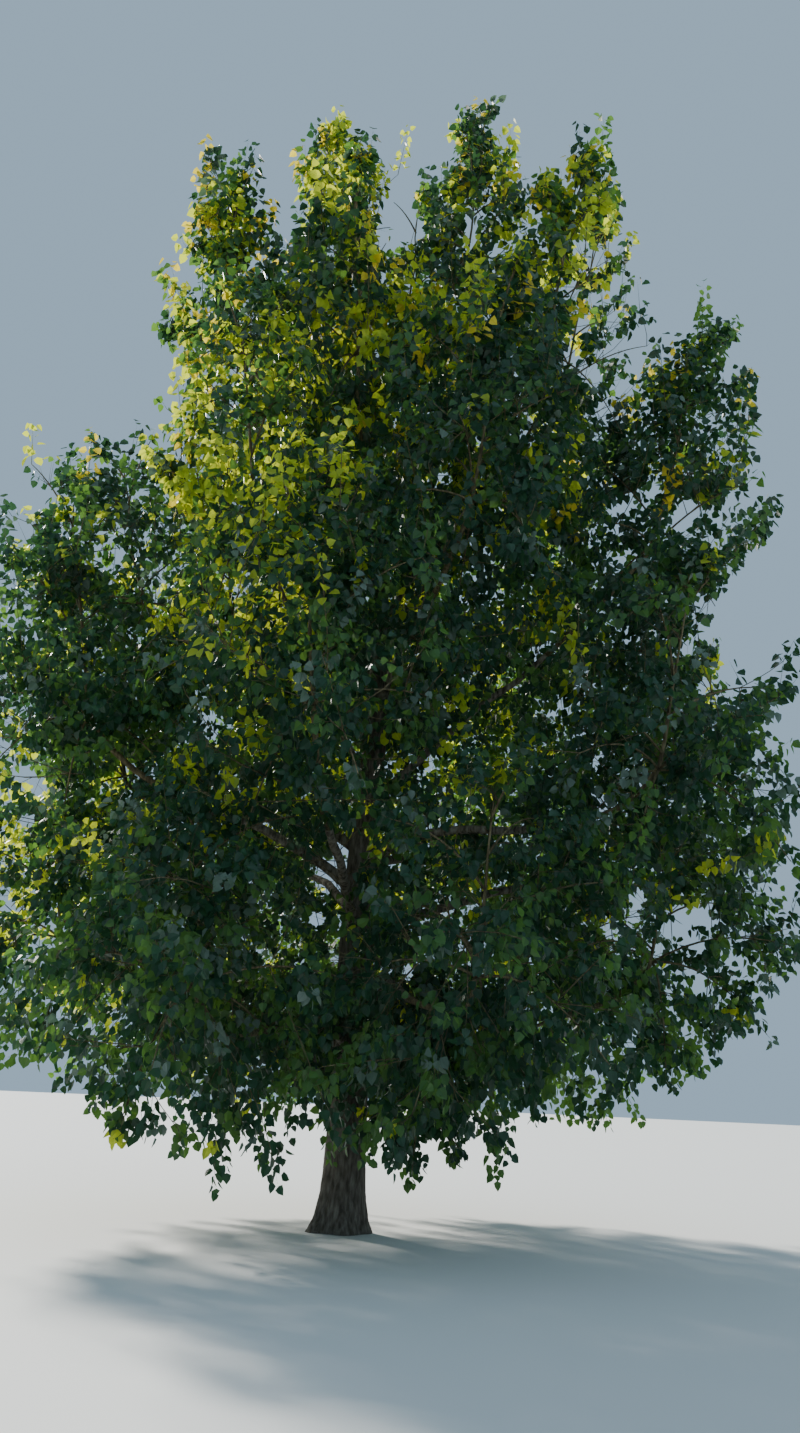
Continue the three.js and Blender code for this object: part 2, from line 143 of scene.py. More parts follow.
def ripple(points: Array, coarse: float, fine: float) -> Array:
    """Gives smooth random values, coarse ones to the metre and fine ones half as strong."""
    pairs = [(Vector(p) * coarse, Vector(p) * fine) for p in points]
    return np.array([noise.noise(large) + 0.5 * noise.noise(small) for large, small in pairs])


@dataclass
class MeshBuffer:
    """Vertices and triangles gathered for one piece."""

    points: list[Array] = field(default_factory=list)
    faces: list[Array] = field(default_factory=list)
    count: int = 0

    def add(self, points: Array, faces: Array) -> None:
        """Adds a set of vertices and its triangles.

        Args:
            points: Vertices, of shape (n, 3).
            faces: Triangles as vertex numbers within this set, of shape (m, 3).
        """
        self.points.append(points.astype(np.float32))
        self.faces.append(faces.astype(np.int32) + self.count)
        self.count += len(points)

    def piece(self, name: str, finish: "Finish", nodes: list[str]) -> bpy.types.Object:
        """Makes the piece and sets it on the frame.

        Args:
            name: The piece's name.
            finish: The finish that dresses it.
            nodes: The model's nodes that it stands for.

        Returns:
            The new object, riding on the root body.
        """
        points = np.concatenate(self.points)
        faces = np.concatenate(self.faces)
        mesh = bpy.data.meshes.new(name)
        mesh.vertices.add(len(points))
        mesh.vertices.foreach_set("co", points.ravel())
        mesh.loops.add(faces.size)
        mesh.loops.foreach_set("vertex_index", faces.ravel())
        mesh.polygons.add(len(faces))
        mesh.polygons.foreach_set("loop_start", np.arange(0, faces.size, 3, dtype=np.int32))
        mesh.polygons.foreach_set("use_smooth", np.full(len(faces), finish.smooth))
        mesh.update(calc_edges=True)
        mesh.materials.append(finish.material())
        made = bpy.data.objects.new(name, mesh)
        bpy.context.scene.collection.objects.link(made)
        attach(made, "root")
        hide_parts(*nodes)
        LOG.info("%s: %d triangles", name, len(faces))
        return made


def repeated(sets: Array, one: Array) -> Skin:
    """Joins sets of vertices, of shape (sets, vertices, 3), that share one pattern of triangles."""
    shift = (np.arange(len(sets)) * sets.shape[1])[:, None, None]
    return sets.reshape(-1, 3), (one[None] + shift).reshape(-1, 3)


def tubes(lines: Array, radii: Array, sides: int) -> Skin:
    """Skins many lines of the same number of stations with closed tubes.

    Args:
        lines: Stations, of shape (lines, stations, 3).
        radii: Radii, of shape (lines, stations), or one row for them all.
        sides: Number of sides of each tube.

    Returns:
        Vertices and triangles of all the tubes together.
    """
    count, stations = lines.shape[:2]
    along = unit(np.gradient(lines, axis=1))
    first = along[:, :1]
    steep = np.abs(first[..., 2:]) > 0.8
    lean = np.where(steep, np.array([0.0, 1.0, 0.0]), UP)
    side = square_to(np.broadcast_to(np.cross(first, lean), along.shape), along)
    across = np.cross(along, side)
    turn = np.linspace(0, 2 * math.pi, sides, endpoint=False)
    ring = side[:, :, None] * np.cos(turn)[:, None] + across[:, :, None] * np.sin(turn)[:, None]
    points = lines[:, :, None] + ring * np.broadcast_to(radii, (count, stations))[:, :, None, None]
    return repeated(points.reshape(count, stations * sides, 3), tube_faces(stations, sides))


def spikes(lines: Array, radii: Array) -> Skin:
    """Skins many straight lines with three-sided spikes that end in a point.

    Args:
        lines: Both ends of each line, of shape (lines, 2, 3).
        radii: Radius at the foot of each.

    Returns:
        Vertices and triangles of all the spikes together.
    """
    points, _ = tubes(lines, radii[:, None], 3)
    points = np.concatenate([points.reshape(-1, 6, 3)[:, :3], lines[:, 1:]], axis=1)
    return repeated(points, np.array([(0, 2, 1), (0, 1, 3), (1, 2, 3), (2, 0, 3)]))


def tube_faces(stations: int, sides: int) -> Array:
    """Gives the triangles of one closed tube.

    Args:
        stations: Number of rings.
        sides: Number of vertices in a ring.

    Returns:
        Triangles as vertex numbers, with both ends capped.
    """
    faces = []
    for i in range(stations - 1):
        for j in range(sides):
            a, b = i * sides + j, i * sides + (j + 1) % sides
            faces += [(a, b, b + sides), (a, b + sides, a + sides)]
    last = (stations - 1) * sides
    for j in range(1, sides - 1):
        faces += [(0, j + 1, j), (last, last + j, last + j + 1)]
    return np.array(faces)


class Tone(Enum):
    """The leaf colours that are dealt out by spray. The darkest blue-green is painted shade and the light
    yellow-green is painted sunlight; the green, gold and pale are the leaves' own colours.
    """

    PAINTED_SHADE = "painted_shade"
    GREEN = "green"
    PAINTED_SUN = "painted_sun"
    GOLD = "gold"
    PALE = "pale"


@dataclass(frozen=True)
class Finish:
    """A surface finish; each kind makes its own material."""

    slot: ClassVar[Slot | None] = None
    smooth: ClassVar[bool] = True

    name: str

    def material(self) -> bpy.types.Material:
        """Gives the finish's material, made once.

        Returns:
            The material.
        """
        known = bpy.data.materials.get(self.name)
        if known:
            return known
        made = bpy.data.materials.new(self.name)
        made.use_nodes = True
        made.node_tree.nodes.clear()
        surface = self.wire(made.node_tree)
        node(made.node_tree, "OutputMaterial", {"Surface": surface})
        return made

    def wire(self, tree: Tree) -> Socket:
        """Builds the nodes; each kind of finish has its own."""
        raise NotImplementedError


def node(tree: Tree, kind: str, inputs: dict[str | int, Any]) -> bpy.types.Node:
    """Adds a shader node.

    Args:
        tree: The node tree.
        kind: The node's kind.
        inputs: What goes into it, by input: values to set or sockets to join.

    Returns:
        The new node.
    """
    made = tree.nodes.new("ShaderNode" + kind)
    for name, given in inputs.items():
        if isinstance(given, Socket):
            tree.links.new(given, made.inputs[name])
        else:
            made.inputs[name].default_value = given
    return made


def mottle(tree: Tree, scale: Vec3, size: float, detail: float) -> Socket:
    """Adds a noise pattern in the object's own space.

    Args:
        tree: The node tree.
        scale: Stretch of the pattern along each axis.
        size: Number of features to the metre.
        detail: Levels of finer detail.

    Returns:
        The pattern's strength.
    """
    place = node(tree, "TexCoord", {}).outputs["Object"]
    stretch = node(tree, "Mapping", {"Scale": scale, "Vector": place}).outputs["Vector"]
    return node(tree, "TexNoise", {"Scale": size, "Detail": detail, "Vector": stretch}).outputs[0]


def ramp(tree: Tree, pattern: Socket, stops: list[tuple[float, Colour]]) -> Socket:
    """Colours a pattern by a ramp.

    Args:
        tree: The node tree.
        pattern: The pattern's strength.
        stops: Places and colours along the ramp.

    Returns:
        The colour.
    """
    made = node(tree, "ValToRGB", {"Fac": pattern})
    bands = made.color_ramp.elements
    while len(bands) < len(stops):
        bands.new(0.5)
    for band, (place, colour) in zip(bands, stops):
        band.position = place
        band.color = (*colour, 1)
    return made.outputs["Color"]


def bump(tree: Tree, pattern: Socket, strength: float, depth: float) -> Socket:
    """Turns a pattern into relief, its depth in metres, and gives the bent normal."""
    inputs = {"Strength": strength, "Distance": depth, "Height": pattern}
    return node(tree, "Bump", inputs).outputs["Normal"]


@dataclass(frozen=True)
class LeafFinish(Finish):
    """A thin leaf that lets light through, a little darker and lighter from place to place."""

    slot: ClassVar[Slot] = Slot.LEAF
    smooth: ClassVar[bool] = False

    dark: Colour
    base: Colour
    light: Colour
    glow: Colour
    through: float
    roughness: float
    sheen: float
    spot_size: float = 7.0
    crinkle_size: float = 90.0
    crinkle_strength: float = 0.25
    crinkle_depth: float = 0.004

    def wire(self, tree: Tree) -> Socket:
        """Builds the leaf's nodes: mottled colour, fine relief and light that shines through.

        Args:
            tree: The material's node tree.

        Returns:
            The surface.
        """
        spots = mottle(tree, (1, 1, 1), self.spot_size, 3.0)
        tint = ramp(tree, spots, [(0.32, self.dark), (0.5, self.base), (0.68, self.light)])
        crinkle = mottle(tree, (1, 1, 1), self.crinkle_size, 2.0)
        face = node(tree, "BsdfPrincipled", {
            "Base Color": tint,
            "Roughness": self.roughness,
            "Specular IOR Level": self.sheen,
            "Normal": bump(tree, crinkle, self.crinkle_strength, self.crinkle_depth),
        })
        back = node(tree, "BsdfTranslucent", {"Color": (*self.glow, 1)})
        both = {"Fac": self.through, 1: face.outputs["BSDF"], 2: back.outputs["BSDF"]}
        return node(tree, "MixShader", both).outputs["Shader"]


@dataclass(frozen=True)
class BarkFinish(Finish):
    """Bark: long grey-brown streaks, darker and lighter at random."""

    slot: ClassVar[Slot] = Slot.BARK

    dark_streak: Colour
    middle_streak: Colour
    patch: Colour
    coarse: float
    relief: float
    streak: Vec3 = (1, 1, 0.22)
    grain: Vec3 = (1, 1, 0.35)
    grain_share: float = 5
    strength: float = 0.7
    roughness: float = 0.9
    sheen: float = 0.2

    def wire(self, tree: Tree) -> Socket:
        """Builds the bark's nodes: streaked colour and relief.

        Args:
            tree: The material's node tree.

        Returns:
            The surface.
        """
        streaks = mottle(tree, self.streak, self.coarse, 8.0)
        tint = ramp(tree, streaks, [(0.36, self.dark_streak), (0.54, self.middle_streak), (0.72, self.patch)])
        grain = mottle(tree, self.grain, self.coarse * self.grain_share, 5.0)
        return node(tree, "BsdfPrincipled", {
            "Base Color": tint,
            "Roughness": self.roughness,
            "Specular IOR Level": self.sheen,
            "Normal": bump(tree, grain, self.strength, self.relief),
        }).outputs["BSDF"]


@dataclass(frozen=True)
class FloorFinish(Finish):
    """A plain pale floor, almost even."""

    pale: Colour = (0.74, 0.74, 0.72)
    roughness: float = 0.85

    def wire(self, tree: Tree) -> Socket:
        """Builds the floor's nodes and gives the surface."""
        plain = {"Base Color": (*self.pale, 1), "Roughness": self.roughness}
        return node(tree, "BsdfPrincipled", plain).outputs["BSDF"]


LEAF_FINISHES = {
    # Painted shade: the darkest blue-green leaf colour, dealt where shade falls on the crown.
    Tone.PAINTED_SHADE: LeafFinish(
        "leaf_painted_shade", dark=(0.004, 0.027, 0.015), base=(0.008, 0.039, 0.021), light=(0.016, 0.058, 0.034),
        glow=(0.05, 0.15, 0.04), through=0.28, roughness=0.42, sheen=0.4),
    Tone.GREEN: LeafFinish(
        "leaf_green", dark=(0.012, 0.047, 0.019), base=(0.02, 0.069, 0.026), light=(0.034, 0.094, 0.036),
        glow=(0.17, 0.36, 0.05), through=0.42, roughness=0.42, sheen=0.35),
    # Painted sunlight: a light yellow-green leaf colour, dealt where the sun falls, light enough to look
    # sunlit even in shade.
    Tone.PAINTED_SUN: LeafFinish(
        "leaf_painted_sun", dark=(0.118, 0.19, 0.022), base=(0.19, 0.275, 0.03), light=(0.275, 0.365, 0.045),
        glow=(0.76, 0.84, 0.05), through=0.54, roughness=0.45, sheen=0.35),
    Tone.GOLD: LeafFinish(
        "leaf_gold", dark=(0.3, 0.26, 0.02), base=(0.46, 0.38, 0.03), light=(0.6, 0.5, 0.05),
        glow=(0.95, 0.76, 0.06), through=0.5, roughness=0.5, sheen=0.3),
    Tone.PALE: LeafFinish(
        "leaf_pale", dark=(0.05, 0.088, 0.072), base=(0.076, 0.122, 0.102), light=(0.106, 0.156, 0.136),
        glow=(0.12, 0.22, 0.1), through=0.28, roughness=0.5, sheen=0.4),
}
TRUNK_BARK = BarkFinish(
    "trunk_bark", (0.06, 0.051, 0.04), (0.118, 0.104, 0.084), (0.18, 0.168, 0.14), 26.0, 0.012)
BOUGH_BARK = BarkFinish(
    "bough_bark", (0.05, 0.042, 0.032), (0.16, 0.145, 0.115), (0.24, 0.235, 0.2), 20.0, 0.006)
TWIG_BARK = BarkFinish(
    "twig_bark", (0.06, 0.05, 0.03), (0.13, 0.11, 0.06), (0.19, 0.17, 0.1), 30.0, 0.002)


@dataclass(frozen=True)
class Tier:
    """One storey of the crown, with the same sizes as the model.

    reach, top and base give each mass its distance from the trunk's foot and its two ends. width is a
    mass's half-width, tilt its lean outwards and taper how it narrows upwards. feet spans the heights at
    which the boughs leave the trunk, and rise is the angle at which they leave. on_trunk marks masses
    that sit on the trunk itself, and clothes_trunk the storey that bears the trunk's own twigs. lift is
    how steeply shoots rise, leaf_scale the size of leaves, and hang how far the skirt hangs down.
    """

    name: str
    bearings: tuple[float, ...]
    reach: tuple[float, ...]
    top: tuple[float, ...]
    base: tuple[float, ...]
    width: float
    tilt: float
    taper: float
    feet: Pair
    rise: float
    bough_radius: float
    on_trunk: tuple[bool, ...] = ()
    clothes_trunk: bool = False
    lift: float = 0.6
    leaf_scale: float = 1.0
    hang: float = 0.0


TIERS = (
    Tier("low", (346, 36, 88, 138, 186, 243, 292), (4.0, 4.0, 3.9, 3.9, 4.0, 3.6, 3.8),
         (5.6, 5.3, 5.2, 5.3, 5.6, 5.0, 5.2), (1.9, 1.7, 1.6, 1.6, 2.0, 1.05, 1.25),
         1.9, 8, 0.1, (2.1, 3.2), 30, 0.064, lift=0.1, leaf_scale=0.94, hang=1.05),
    Tier("mid", (10, 60, 112, 160, 206, 262, 326), (4.5, 4.2, 4.0, 4.2, 4.1, 3.9, 4.5),
         (9.0, 9.4, 9.3, 9.8, 9.9, 8.8, 8.5), (3.6, 3.6, 3.7, 3.8, 3.6, 3.6, 3.5),
         1.85, 12, 0.25, (3.5, 5.1), 38, 0.078, lift=0.55, leaf_scale=0.98),
    Tier("high", (344, 40, 92, 140, 184, 240, 294), (4.35, 3.6, 3.4, 3.4, 3.6, 3.2, 3.3),
         (13.3, 13.2, 13.4, 13.0, 11.5, 11.8, 12.2), (6.6, 6.8, 7.0, 6.8, 6.4, 6.6, 6.6),
         1.6, 14, 0.32, (5.5, 7.7), 46, 0.062, lift=0.85, leaf_scale=1.08),
    Tier("upper", (4, 72, 130, 200, 258, 328), (3.15, 2.3, 2.3, 2.55, 2.1, 3.0),
         (17.4, 16.8, 16.8, 16.6, 15.0, 16.2), (10.2, 10.4, 10.4, 10.0, 9.6, 9.6),
         1.35, 10, 0.42, (8.2, 10.4), 50, 0.046, lift=1.1, leaf_scale=1.2),
    Tier("crest", (335, 60, 185), (1.45, 0.7, 0.95), (18.4, 17.8, 18.3), (12.6, 13.2, 13.0),
         1.1, 3, 0.45, (11.6, 13.0), 62, 0.034, (False, True, True), lift=1.2, leaf_scale=1.2),
    Tier("spray", (312,), (1.35,), (2.4,), (0.65,),
         0.75, 0, 0, (1.9, 1.9), 25, 0.016, (True,), clothes_trunk=True, lift=-0.1, leaf_scale=0.92),
)


@dataclass
class Trunk:
    """The trunk: taper, root flare and the course of its centre, with furrowed bark."""

    radius: float = 0.28
    taper: float = 1.07
    top: float = 17.2
    runout: float = 17.4
    tip_radius: float = 0.016
    flare: float = 0.13
    flare_height: float = 0.28
    lobes: int = 5
    lobe_depth: float = 0.3
    left_depth: float = 0.25
    lobe_turn: float = 0.6
    course: tuple[Vec3, ...] = (
        (0.0, 0.0, 0.0), (0.015, 0.0, 1.5), (0.0, 0.02, 4.3), (0.14, 0.03, 7.5),
        (-0.07, 0.01, 10.6), (-0.45, -0.02, 14.4), (-0.85, 0.0, 17.2),
    )
    rings: int = 300
    ring_crowding: float = 1.35
    sides: int = 64
    furrow_depth: float = 0.017
    furrow_fade: float = 5.0
    furrow_least: float = 0.0015
    furrow_share: float = 0.09
    furrow_size: float = 17.0
    furrow_stretch: float = 2.6
    ridge_width: float = 2.6
    sway: float = 0.35

    def centre(self, z: Array | float) -> Array:
        """Gives the trunk's centre at heights.

        Args:
            z: Heights above the ground.

        Returns:
            Points on a smooth line through the course.
        """
        z = np.atleast_1d(np.asarray(z, float))
        stops = np.array(self.course)
        last = len(stops) - 1
        i = np.clip(np.searchsorted(stops[:, 2], z, side="left") - 1, 0, last - 1)
        before, after = np.maximum(np.arange(last + 1) - 1, 0), np.minimum(np.arange(last + 1) + 1, last)
        slopes = (stops[after] - stops[before]) / (stops[after, 2] - stops[before, 2])[:, None]
        span = (stops[i + 1, 2] - stops[i, 2])[:, None]
        u = (z[:, None] - stops[i, 2:3]) / span
        value = ((2 * u**3 - 3 * u**2 + 1) * stops[i] + (u**3 - 2 * u**2 + u) * span * slopes[i]
                 + (3 * u**2 - 2 * u**3) * stops[i + 1] + (u**3 - u**2) * span * slopes[i + 1])
        value[:, 2] = z
        return value

    def radius_at(self, z: Array, turn: Array) -> Array:
        """Gives the trunk's radius with its root flare.

        Args:
            z: Heights above the ground.
            turn: Angles round the trunk.

        Returns:
            Radii without the bark's relief.
        """
        bole = np.maximum(self.tip_radius, self.radius * np.maximum(1 - z / self.runout, 0) ** self.taper)
        lobes = 1 + self.lobe_depth * np.cos(self.lobes * turn + self.lobe_turn)
        lobes = lobes - self.left_depth * np.cos(turn)
        return bole + self.flare * np.exp(-z / self.flare_height) * lobes

    def furrows(self, z: Array, turn: Array, radius: Array) -> Array:
        """Gives the depth of the bark's furrows.

        Args:
            z: Heights above the ground.
            turn: Angles round the trunk.
            radius: Radii at the same places.

        Returns:
            How far the bark lies below its ridges.
        """
        depth = np.zeros(z.size)
        for k, (h, a, r) in enumerate(zip(z.ravel(), turn.ravel(), radius.ravel())):
            bent = a + self.sway * noise.noise((math.cos(a) * 1.5, math.sin(a) * 1.5, h * 1.3))
            at = Vector((math.cos(bent) * r * self.furrow_size, math.sin(bent) * r * self.furrow_size,
                         h * self.furrow_stretch))
            depth[k] = abs(noise.noise(at)) + 0.4 * abs(noise.noise(at * 2.3))
        ridged = 1 - np.clip(depth * self.ridge_width, 0, 1)
        fade = self.furrow_depth * np.exp(-z.ravel() / self.furrow_fade) + self.furrow_least
        return (ridged * np.minimum(fade, radius.ravel() * self.furrow_share)).reshape(z.shape)

    def build(self) -> bpy.types.Object:
        """Makes the trunk's piece, from the flat cut at the ground to the tip.

        Returns:
            The piece that stands for the trunk.
        """
        z = self.top * np.linspace(0, 1, self.rings) ** self.ring_crowding
        turn = np.linspace(0, 2 * math.pi, self.sides, endpoint=False)
        heights, turns = np.meshgrid(z, turn, indexing="ij")
        radius = self.radius_at(heights, turns)
        radius = radius - self.furrows(heights, turns, radius)
        ring = np.stack([np.cos(turns) * radius, np.sin(turns) * radius, np.zeros_like(radius)], -1)
        points = self.centre(z)[:, None] + ring
        buffer = MeshBuffer()
        buffer.add(points.reshape(-1, 3), tube_faces(self.rings, self.sides))
        return buffer.piece("trunk_bark", TRUNK_BARK, [TRUNK])


@dataclass
class FoliageMass:
    """A flame-shaped mass of foliage, with the limb that carries it."""

    tier: Tier
    number: int
    index: int
    trunk: Trunk

    entry_depth: float = 0.95
    heart: float = -0.2
    stem_top: float = 0.72
    leave_pull: float = 0.38
    arrive_pull: float = 0.34
    bend_points: int = 40
    stem_points: int = 16
    sway: float = 0.07
    sway_ease: float = 12
    stem_tip_radius: float = 0.009
    stem_taper: float = 0.9
    collar: float = 0.35
    collar_end: float = 0.2
    collar_ease: float = 0.18
    foot_step: float = 0.618

    def __post_init__(self) -> None:
        """Works out the mass's place, axis, limb and stream of random numbers."""
        t, i = self.tier, self.number - 1
        turn, tilt = math.radians(t.bearings[i]), math.radians(t.tilt)
        self.rng = np.random.default_rng(GROWTH_SEED + self.index)
        self.reach, self.base = t.reach[i], t.base[i]
        self.out = np.array([math.cos(turn), math.sin(turn), 0.0])
        self.centre = self.out * t.reach[i] + UP * (t.top[i] + t.base[i]) / 2
        self.axis = self.out * math.sin(tilt) + UP * math.cos(tilt)
        self.half = (t.top[i] - t.base[i]) / 2 / math.cos(tilt)
        self.side = np.array([-self.out[1], self.out[0], 0.0])
        self.front = np.cross(self.side, self.axis)
        self.foot = t.feet[0] + (i * self.foot_step % 1) * (t.feet[1] - t.feet[0])
        self.on_trunk = bool(t.on_trunk and t.on_trunk[i])
        self.name = f"{t.name}_{self.number}"
        self.course = self.limb_course()
        steps = np.linalg.norm(np.diff(self.course, axis=0), axis=1)
        self.lengths = np.concatenate([[0.0], np.cumsum(steps)])
        inside = self.depth(self.course) < self.entry_depth
        self.entry = 0.0 if self.on_trunk else float(self.lengths[np.argmax(inside)])

    def depth(self, points: Array) -> Array:
        """Measures how deep points lie in the mass.

        Args:
            points: Points, of shape (n, 3).

        Returns:
            0 on the centre and 1 on the surface.
        """
        offset = points - self.centre
        t = offset @ self.axis / self.half
        spread = np.linalg.norm(offset - np.outer(t * self.half, self.axis), axis=1)
        width = self.tier.width * np.maximum(0.2, 1 - self.tier.taper * t)
        return np.hypot(spread / width, t)

    def inner(self, t: Array, turn: Array, share: Array) -> Array:
        """Places points in the mass.

        Args:
            t: Heights along the axis, from -1 to 1.
            turn: Angles round the axis.
            share: Shares of the width at that height.

        Returns:
            Points, one row each.
        """
        t, turn, share = np.broadcast_arrays(np.atleast_1d(t), turn, share)
        spread = share * self.tier.width * np.sqrt(np.maximum(0, 1 - t * t)) * (1 - self.tier.taper * t)
        around = self.front * np.cos(turn)[:, None] + self.side * np.sin(turn)[:, None]
        return self.centre + np.outer(t * self.half, self.axis) + around * spread[:, None]

    def limb_course(self) -> Array:
        """Gives the line of the limb, from the trunk's centre to high in the mass.

        Returns:
            Points along the limb.
        """
        foot = self.trunk.centre(self.foot)[0]
        rise = math.radians(self.tier.rise)
        leave = self.out * math.cos(rise) + UP * math.sin(rise)
        heart = self.centre + self.axis * self.half * self.heart
        arrive = unit(self.axis * 0.8 + self.out * 0.4)
        span = float(np.linalg.norm(heart - foot))
        a, b = foot + leave * span * self.leave_pull, heart - arrive * span * self.arrive_pull
        u = np.linspace(0, 1, self.bend_points)[:, None]
        bend = (1 - u) ** 3 * foot + 3 * u * (1 - u) ** 2 * a + 3 * u**2 * (1 - u) * b + u**3 * heart
        rest = self.inner(np.linspace(self.heart, self.stem_top, self.stem_points)[1:], 0, 0)
        line = np.concatenate([bend, rest])
        shift = np.array([[noise.noise((k * 0.17, self.index * 3.1, c * 7.7)) for c in range(3)]
                          for k in range(len(line))])
        ease = np.clip(np.arange(len(line)) / self.sway_ease, 0, 1)[:, None]
        return line + shift * ease * self.sway

    def radius_at(self, length: Array) -> Array:
        """Gives the limb's radius at lengths from its foot.

        Args:
            length: Lengths along the limb.

        Returns:
            Radii.
        """
        share = np.clip(length / self.lengths[-1], 0, 1)
        radius = self.tier.bough_radius
        thin = radius - (radius - self.stem_tip_radius) * share**self.stem_taper
        swell = self.collar * np.exp(-np.maximum(0, length - self.collar_end) / self.collar_ease)
        return thin * (1 + swell)

    def stretch(self, start: float, end: float, stations: int) -> tuple[Array, Array]:
        """Samples the limb between two lengths.

        Args:
            start: Length at the first station.
            end: Length at the last station.
            stations: Number of stations.

        Returns:
            Points and radii.
        """
        at = np.linspace(start, end, stations)
        line = np.stack([np.interp(at, self.lengths, self.course[:, c]) for c in range(3)], -1)
        return line, self.radius_at(at)


@dataclass
class Boughs:
    """The boughs, each one tapering limb from the trunk to where its mass begins."""

    masses: list[FoliageMass]
    stations: int = 44
    sides: int = 12
    relief: float = 0.05
    lumps: Pair = (9.0, 26.0)

    def build(self) -> bpy.types.Object:
        """Makes one piece of all the boughs.

        Returns:
            The piece that stands for them.
        """
        buffer = MeshBuffer()
        nodes = []
        for mass in self.masses:
            if mass.on_trunk:
                continue
            line, radii = mass.stretch(0.0, mass.entry, self.stations)
            points, faces = tubes(line[None], radii[None], self.sides)
            middle = np.repeat(line, self.sides, axis=0)
            bumps = self.relief * ripple(points, *self.lumps)[:, None]
            buffer.add(middle + (points - middle) * (1 + bumps), faces)
            nodes.append("bough_" + mass.name)
        return buffer.piece("bough_bark", BOUGH_BARK, nodes)


@dataclass(frozen=True)
class Parting:
    """A straight gap in the crown, between its two ends, that shows the sky or a limb."""

    near: Vec3
    far: Vec3
    radius: float

    def clears(self, points: Array) -> Array:
        """Tells which points lie outside the gap.

        Args:
            points: Points, with their coordinates along the last axis.

        Returns:
            True for each point outside.
        """
        way = np.array(self.far) - np.array(self.near)
        along = unit(way)
        offset = points - np.array(self.near)
        reach = offset @ along
        aside = np.linalg.norm(offset - reach[..., None] * along, axis=-1) > self.radius
        return aside | (reach > np.linalg.norm(way)) | (reach < 0)


@dataclass(frozen=True)
class Patch:
    """An oval part of the crown, as seen from in front of the tree.

    x and z are its middle, and wide and tall its half-sizes.
    """

    x: float
    z: float
    wide: float
    tall: float

    def places(self, count: int, y: float) -> list[Array]:
        """Spreads places evenly over the patch.

        Args:
            count: How many places.
            y: How far behind the trunk's foot they lie.

        Returns:
            Points, from the middle outwards.
        """
        made = []
        for i in range(count):
            spread, turn = math.sqrt((i + 0.5) / count), i * GOLDEN_TURN
            made.append(np.array([self.x + spread * self.wide * math.cos(turn), y,
                                  self.z + spread * self.tall * math.sin(turn)]))
        return made


@dataclass(frozen=True)
class PaintedLightPatch(Patch):
    """A place on the near side of the crown whose leaves are dealt painted sunlight, where the sun
    reaches, or painted deeper shade.

    glow is how much painted sunlight, or below zero painted shade, it adds to its leaves' colour. Each of
    its shafts is a real narrow gap through the crown towards the sun.
    """

    glow: float
    shafts: int = 0
    shaft_radius: float = 0.17
    shaft_start: float = -2.9
    shaft_length: float = 9.0

    def light(self, points: Array) -> Array:
        """Gives how much painted light the patch adds at points, painted shade where below zero, falling
        off evenly from its middle.
        """
        aside, above = (points[:, 0] - self.x) / self.wide, (points[:, 2] - self.z) / self.tall
        return self.glow * np.exp(-(aside**2) - above**2)

    def partings(self) -> list[Parting]:
        """Opens the shafts, from the near side of the crown towards the sun."""
        way = unit(np.array(SUNWARD)) * self.shaft_length
        return [Parting(tuple(near), tuple(near + way), self.shaft_radius)
                for near in self.places(self.shafts, self.shaft_start)]


@dataclass(frozen=True)
class SkyPatch(Patch):
    """A loose part of the crown, where specks of sky show from in front of the tree."""

    specks: int
    radius: float = 0.14
    reach: float = 7.5

    def partings(self) -> list[Parting]:
        """Opens a gap through the crown for each speck, along the line of sight."""
        ways = [(at, unit(at - np.array(VIEWPOINT)) * self.reach) for at in self.places(self.specks, 0.0)]
        return [Parting(tuple(at - way), tuple(at + way), self.radius) for at, way in ways]


@dataclass(frozen=True)
class LimbView:
    """A stretch of the trunk or of a bough that can be seen from in front of the tree."""

    limb: str
    start: float
    end: float
    radius: float
    spacing: float = 0.3
    clearance: float = 0.12
    lead: float = 5.0

    def partings(self, masses: list[FoliageMass]) -> list[Parting]:
        """Opens the crown between the viewpoint and the stretch.

        Args:
            masses: The masses, which know their boughs.

        Returns:
            Gaps side by side, each ending in front of the limb.
        """
        count = 1 + int((self.end - self.start) / self.spacing)
        if self.limb == TRUNK:
            line = masses[0].trunk.centre(np.linspace(self.start, self.end, count))
        else:
            mass = next(mass for mass in masses if mass.name == self.limb)
            line, _ = mass.stretch(self.start, self.end, count)
        eye = np.array(VIEWPOINT)
        toward = unit(line - eye)
        ends = zip(eye + toward * self.lead, line - toward * self.clearance)
        return [Parting(tuple(near), tuple(far), self.radius) for near, far in ends]


@dataclass
class LeafShape:
    """A poplar leaf: broad and rounded above a flat base, drawn out to a tip, on a long thin stalk."""

    stalk: float = 0.5
    stalk_width: float = 0.022
    foot: Pair = (0.0, 0.02)
    widest: Pair = (0.43, 0.22)
    shoulder: Pair = (0.33, 0.62)
    tip: Pair = (0.0, 1.0)
    rise: float = 0.3
    droop: float = 0.14

    def build(self, base: Array, along: Array, facing: Array, length: Array, root: Array,
              fold: Array) -> Skin:
        """Makes many leaves at once.

        Args:
            base: Where each blade begins.
            along: The direction of each midrib.
            facing: The direction that each blade faces, square to its midrib.
            length: The length of each blade.
            root: Where each stalk leaves its shoot.
            fold: How far each blade is folded along its midrib, from 0 to 1.

        Returns:
            Vertices and triangles of all the leaves.
        """
        across = np.cross(along, facing)
        corners = []
        outline = ((0, self.foot), (1, self.widest), (1, self.shoulder), (0, self.tip),
                   (-1, self.shoulder), (-1, self.widest))
        for sign, (x, y) in outline:
            lift = (self.rise * x * fold - self.droop * y * y)[:, None]
            corners.append(base + (across * sign * x + along * y + facing * lift) * length[:, None])
        half = across * self.stalk_width * 0.5 * length[:, None]
        points = np.stack(corners + [root - half, root + half], 1)
        return repeated(points, np.array([(0, 1, 2), (0, 2, 3), (0, 3, 4), (0, 4, 5), (6, 7, 0)]))


